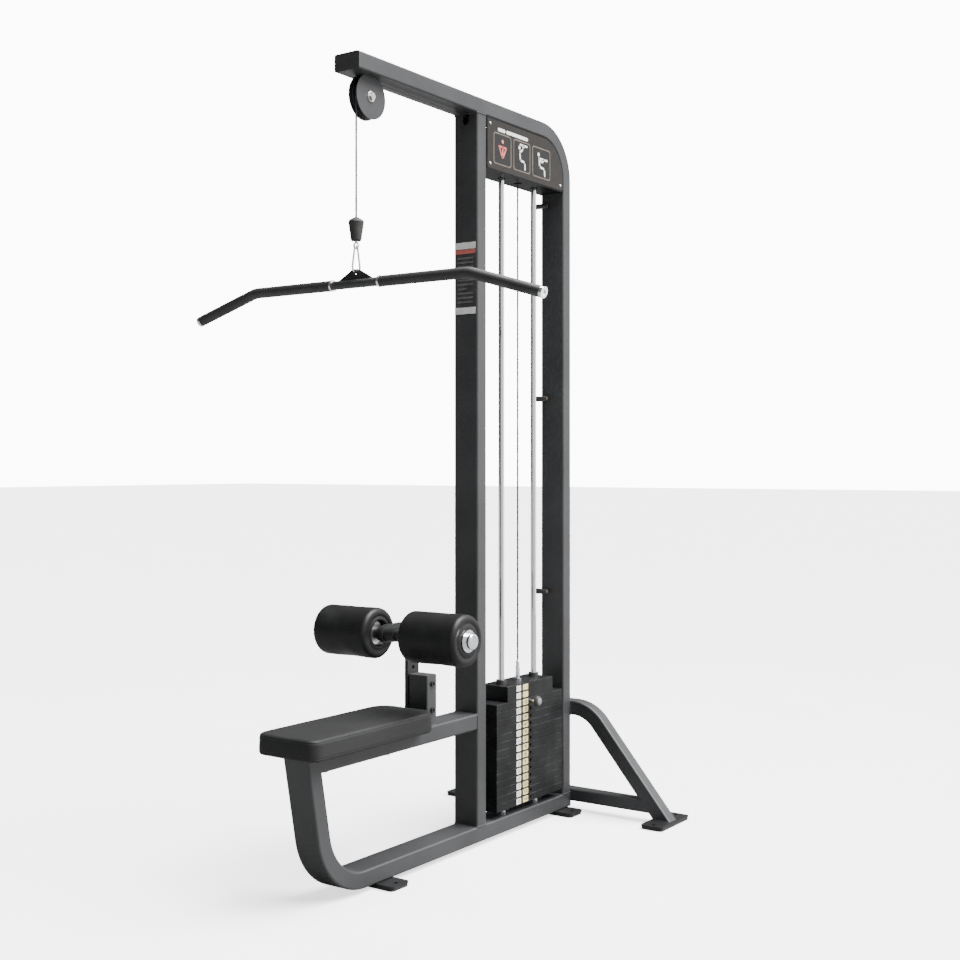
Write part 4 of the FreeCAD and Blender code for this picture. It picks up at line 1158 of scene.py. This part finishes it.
heading = bmesh.new()
for start, end in (((0.118, 2.266), (0.150, 2.266)), ((0.166, 2.266), (0.283, 2.266))):
    stroke(heading, (upright_face + start[0], start[1]), (upright_face + end[0], end[1]), 0.011, face_x)
add_piece("placard_heading_bars", finish_mesh("placard_heading_bars", heading, False), "frame", white_film)
print("boxes:", len(BOXES))


# %% [markdown]
# ### The sheet on the front upright
# A tall printed sheet faces the user at head height: a white band with a red stripe at the
# top, a dark body, and a white band at the foot. The print itself is left as plain bars.

# %% Front sheet
def front_sheet(name, low_z, high_z, half, finish, lift=0.0):
    sheet = bmesh.new()
    rounded_sheet(sheet, "Y-", up_low.y - lift, (-half, low_z), (half, high_z), 0.003)
    return add_piece(name, finish_mesh(name, sheet, False), "frame", finish)


front_sheet("front_sheet_body", 1.667, 1.896, 0.0405, dark_film)
front_sheet("front_sheet_top_band", 1.873, 1.894, 0.0385, white_film, 0.0003)
front_sheet("front_sheet_red_stripe", 1.858, 1.8715, 0.0385, red_film, 0.0003)
front_sheet("front_sheet_low_band", 1.669, 1.690, 0.0385, white_film, 0.0003)
bars = bmesh.new()
soft_print = film("soft_print", grey(0.10), grey(0.14))
for line in range(11):
    shade = 0.030 if line % 4 != 3 else 0.019
    level = 1.842 - 0.0138 * line
    rounded_sheet(bars, "Y-", up_low.y - 0.0003, (-0.032, level), (-0.032 + 2 * shade, level + 0.0050), 0.001)
add_piece("front_sheet_bars", finish_mesh("front_sheet_bars", bars, False), "frame", soft_print)
print("front sheet from 1.667 to 1.896 m")


# %% [markdown]
# ## Small turned fixings
# These are the last things a maker fits: bright washers under the pulley bolts, grey plugs in
# the ends of the guard barrels, domed screws that hold the housing's sides, a swaged ferrule
# where the cable meets the stack. All are turned, so all come from one spun profile.

# %% Turned fixings
def turned_piece(name, profiles, body, finish, steps=40):
    """profiles: (centre, axis, [(along, radius), ...]) for each copy in the piece."""
    turned = bmesh.new()
    for centre, axis, profile in profiles:
        rings = spin_profile(turned, profile, centre, axis, steps)
        if profile[0][1] > 0.0 and profile[0] == profile[-1]:
            continue
        turned.faces.new(rings[0])
        turned.faces.new(rings[-1])
    print(name, len(profiles), "copies")
    return add_piece(name, finish_mesh(name, turned, True), body, finish)


def ring_profile(inner, outer, thick, soft=0.0004):
    """A washer with softened rims, as a closed (along, radius) loop."""
    return [(0, inner), (thick - soft, inner), (thick, inner + soft), (thick, outer - soft),
            (thick - soft, outer), (0, outer), (0, inner)]


cheek_high = Vector(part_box("front_pulley_cheeks")[1])
wheel_low, wheel_high = (Vector(c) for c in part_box("front_pulley"))
axle = (wheel_low + wheel_high) / 2
turned_piece("pulley_washer", [((cheek_high.x, axle.y, axle.z), "X", ring_profile(0.0112, 0.0152, 0.0016))],
             "frame", zinc)

clip_low, clip_high = (Vector(c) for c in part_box("guard_clips"))
plug_y = clip_low.y + 0.009
plug = [(-0.0002, 0.0), (0.0, 0.0066), (0.0008, 0.0066), (0.0014, 0.0056), (0.0014, 0.0001)]
turned_piece("guard_clip_plugs", [((clip_high.x, plug_y, z), "X", plug) for z in (2.090, 1.424, 0.758)],
             "frame", tan_film, 24)

dome = [(0.0, 0.0), (0.0, 0.0048), (0.0010, 0.0044), (0.0019, 0.0030), (0.0023, 0.0001)]
screw_spots = [(shroud_low.y + 0.020, shroud_low.z + 0.020), (shroud_high.y - 0.020, shroud_low.z + 0.020),
               (shroud_low.y + 0.020, shroud_high.z - 0.020)]
turned_piece("placard_screws", [((face_x, y, z), "X", dome) for y, z in screw_spots], "frame", zinc,
             20)

clevis_high = Vector(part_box("cable_clevis")[1])
ferrule = [(0.0, 0.0031), (0.0, 0.0052), (0.001, 0.0058), (0.018, 0.0058), (0.021, 0.0042), (0.022, 0.0031),
           (0.0, 0.0031)]
turned_piece("cable_ferrule", [((0.0, stack_y, clevis_high.z), "Z", ferrule)], "stack_carriage", chrome)

# %% [markdown]
# The knob on the selector pin has a grey cap set in a black grip, which makes a plain disc
# read as something to take hold of.

# %% Knob cap
knob_low, knob_high = (Vector(c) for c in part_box("selector_knob"))
knob = (knob_low + knob_high) / 2
cap = [(-0.0005, 0.0), (0.0, 0.0115), (0.0012, 0.0112), (0.0020, 0.0095), (0.0023, 0.0001)]
knob_grey = film("knob_grey", grey(0.16), grey(0.22))
turned_piece("knob_cap", [((knob_high.x, knob.y, knob.z), "X", cap)], "stack_pin", knob_grey,
             32)


# %% [markdown]
# ## The moving cable
# The cable's two hanging stretches change length as the bar is pulled: the front one grows
# while the one over the stack gets shorter. A rigid tube would tear away from its pulley.
# Here each stretch is made again as a laid cable at its resting length, and the CAD stretch
# is hidden; its ends are not tied to the frame or to the moving parts.

# %% Two hanging stretches of laid cable
STRANDS = 6
LAY_LENGTH = 0.045
RING_GAP = 0.008


def hanging_cable(name, node):
    """A laid cable from the moving body, at its low end, up to the frame."""
    low, high = (Vector(c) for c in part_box(node))
    centre, radius = (low + high) / 2, (high.x - low.x) / 2
    count = round((high.z - low.z) / RING_GAP)
    laid = bmesh.new()
    rings = []
    for index in range(count + 1):
        z = low.z + (high.z - low.z) * index / count
        turn = 2 * math.pi * (z - low.z) / LAY_LENGTH
        ring = []
        for k in range(3 * STRANDS):
            angle = 2 * math.pi * k / (3 * STRANDS)
            thick = radius * (0.95 + 0.05 * math.cos(STRANDS * (angle - turn)))
            ring.append(laid.verts.new((centre.x + thick * math.cos(angle),
                                        centre.y + thick * math.sin(angle), z)))
        rings.append(ring)
    for first, second in zip(rings, rings[1:]):
        for k in range(len(first)):
            after = (k + 1) % len(first)
            laid.faces.new((first[k], first[after], second[after], second[k]))
    laid.faces.new(rings[0])
    laid.faces.new(rings[-1])
    piece = bpy.data.objects.new(name, finish_mesh(name, laid))
    bpy.context.scene.collection.objects.link(piece)
    piece.data.materials.append(jacket)
    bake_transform(piece)
    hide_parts(node)
    print(name, round(high.z - low.z, 3), "m long at rest,", len(rings), "rings")


hanging_cable("front_cable", "cable_front_drop")
hanging_cable("stack_cable", "cable_stack_drop")
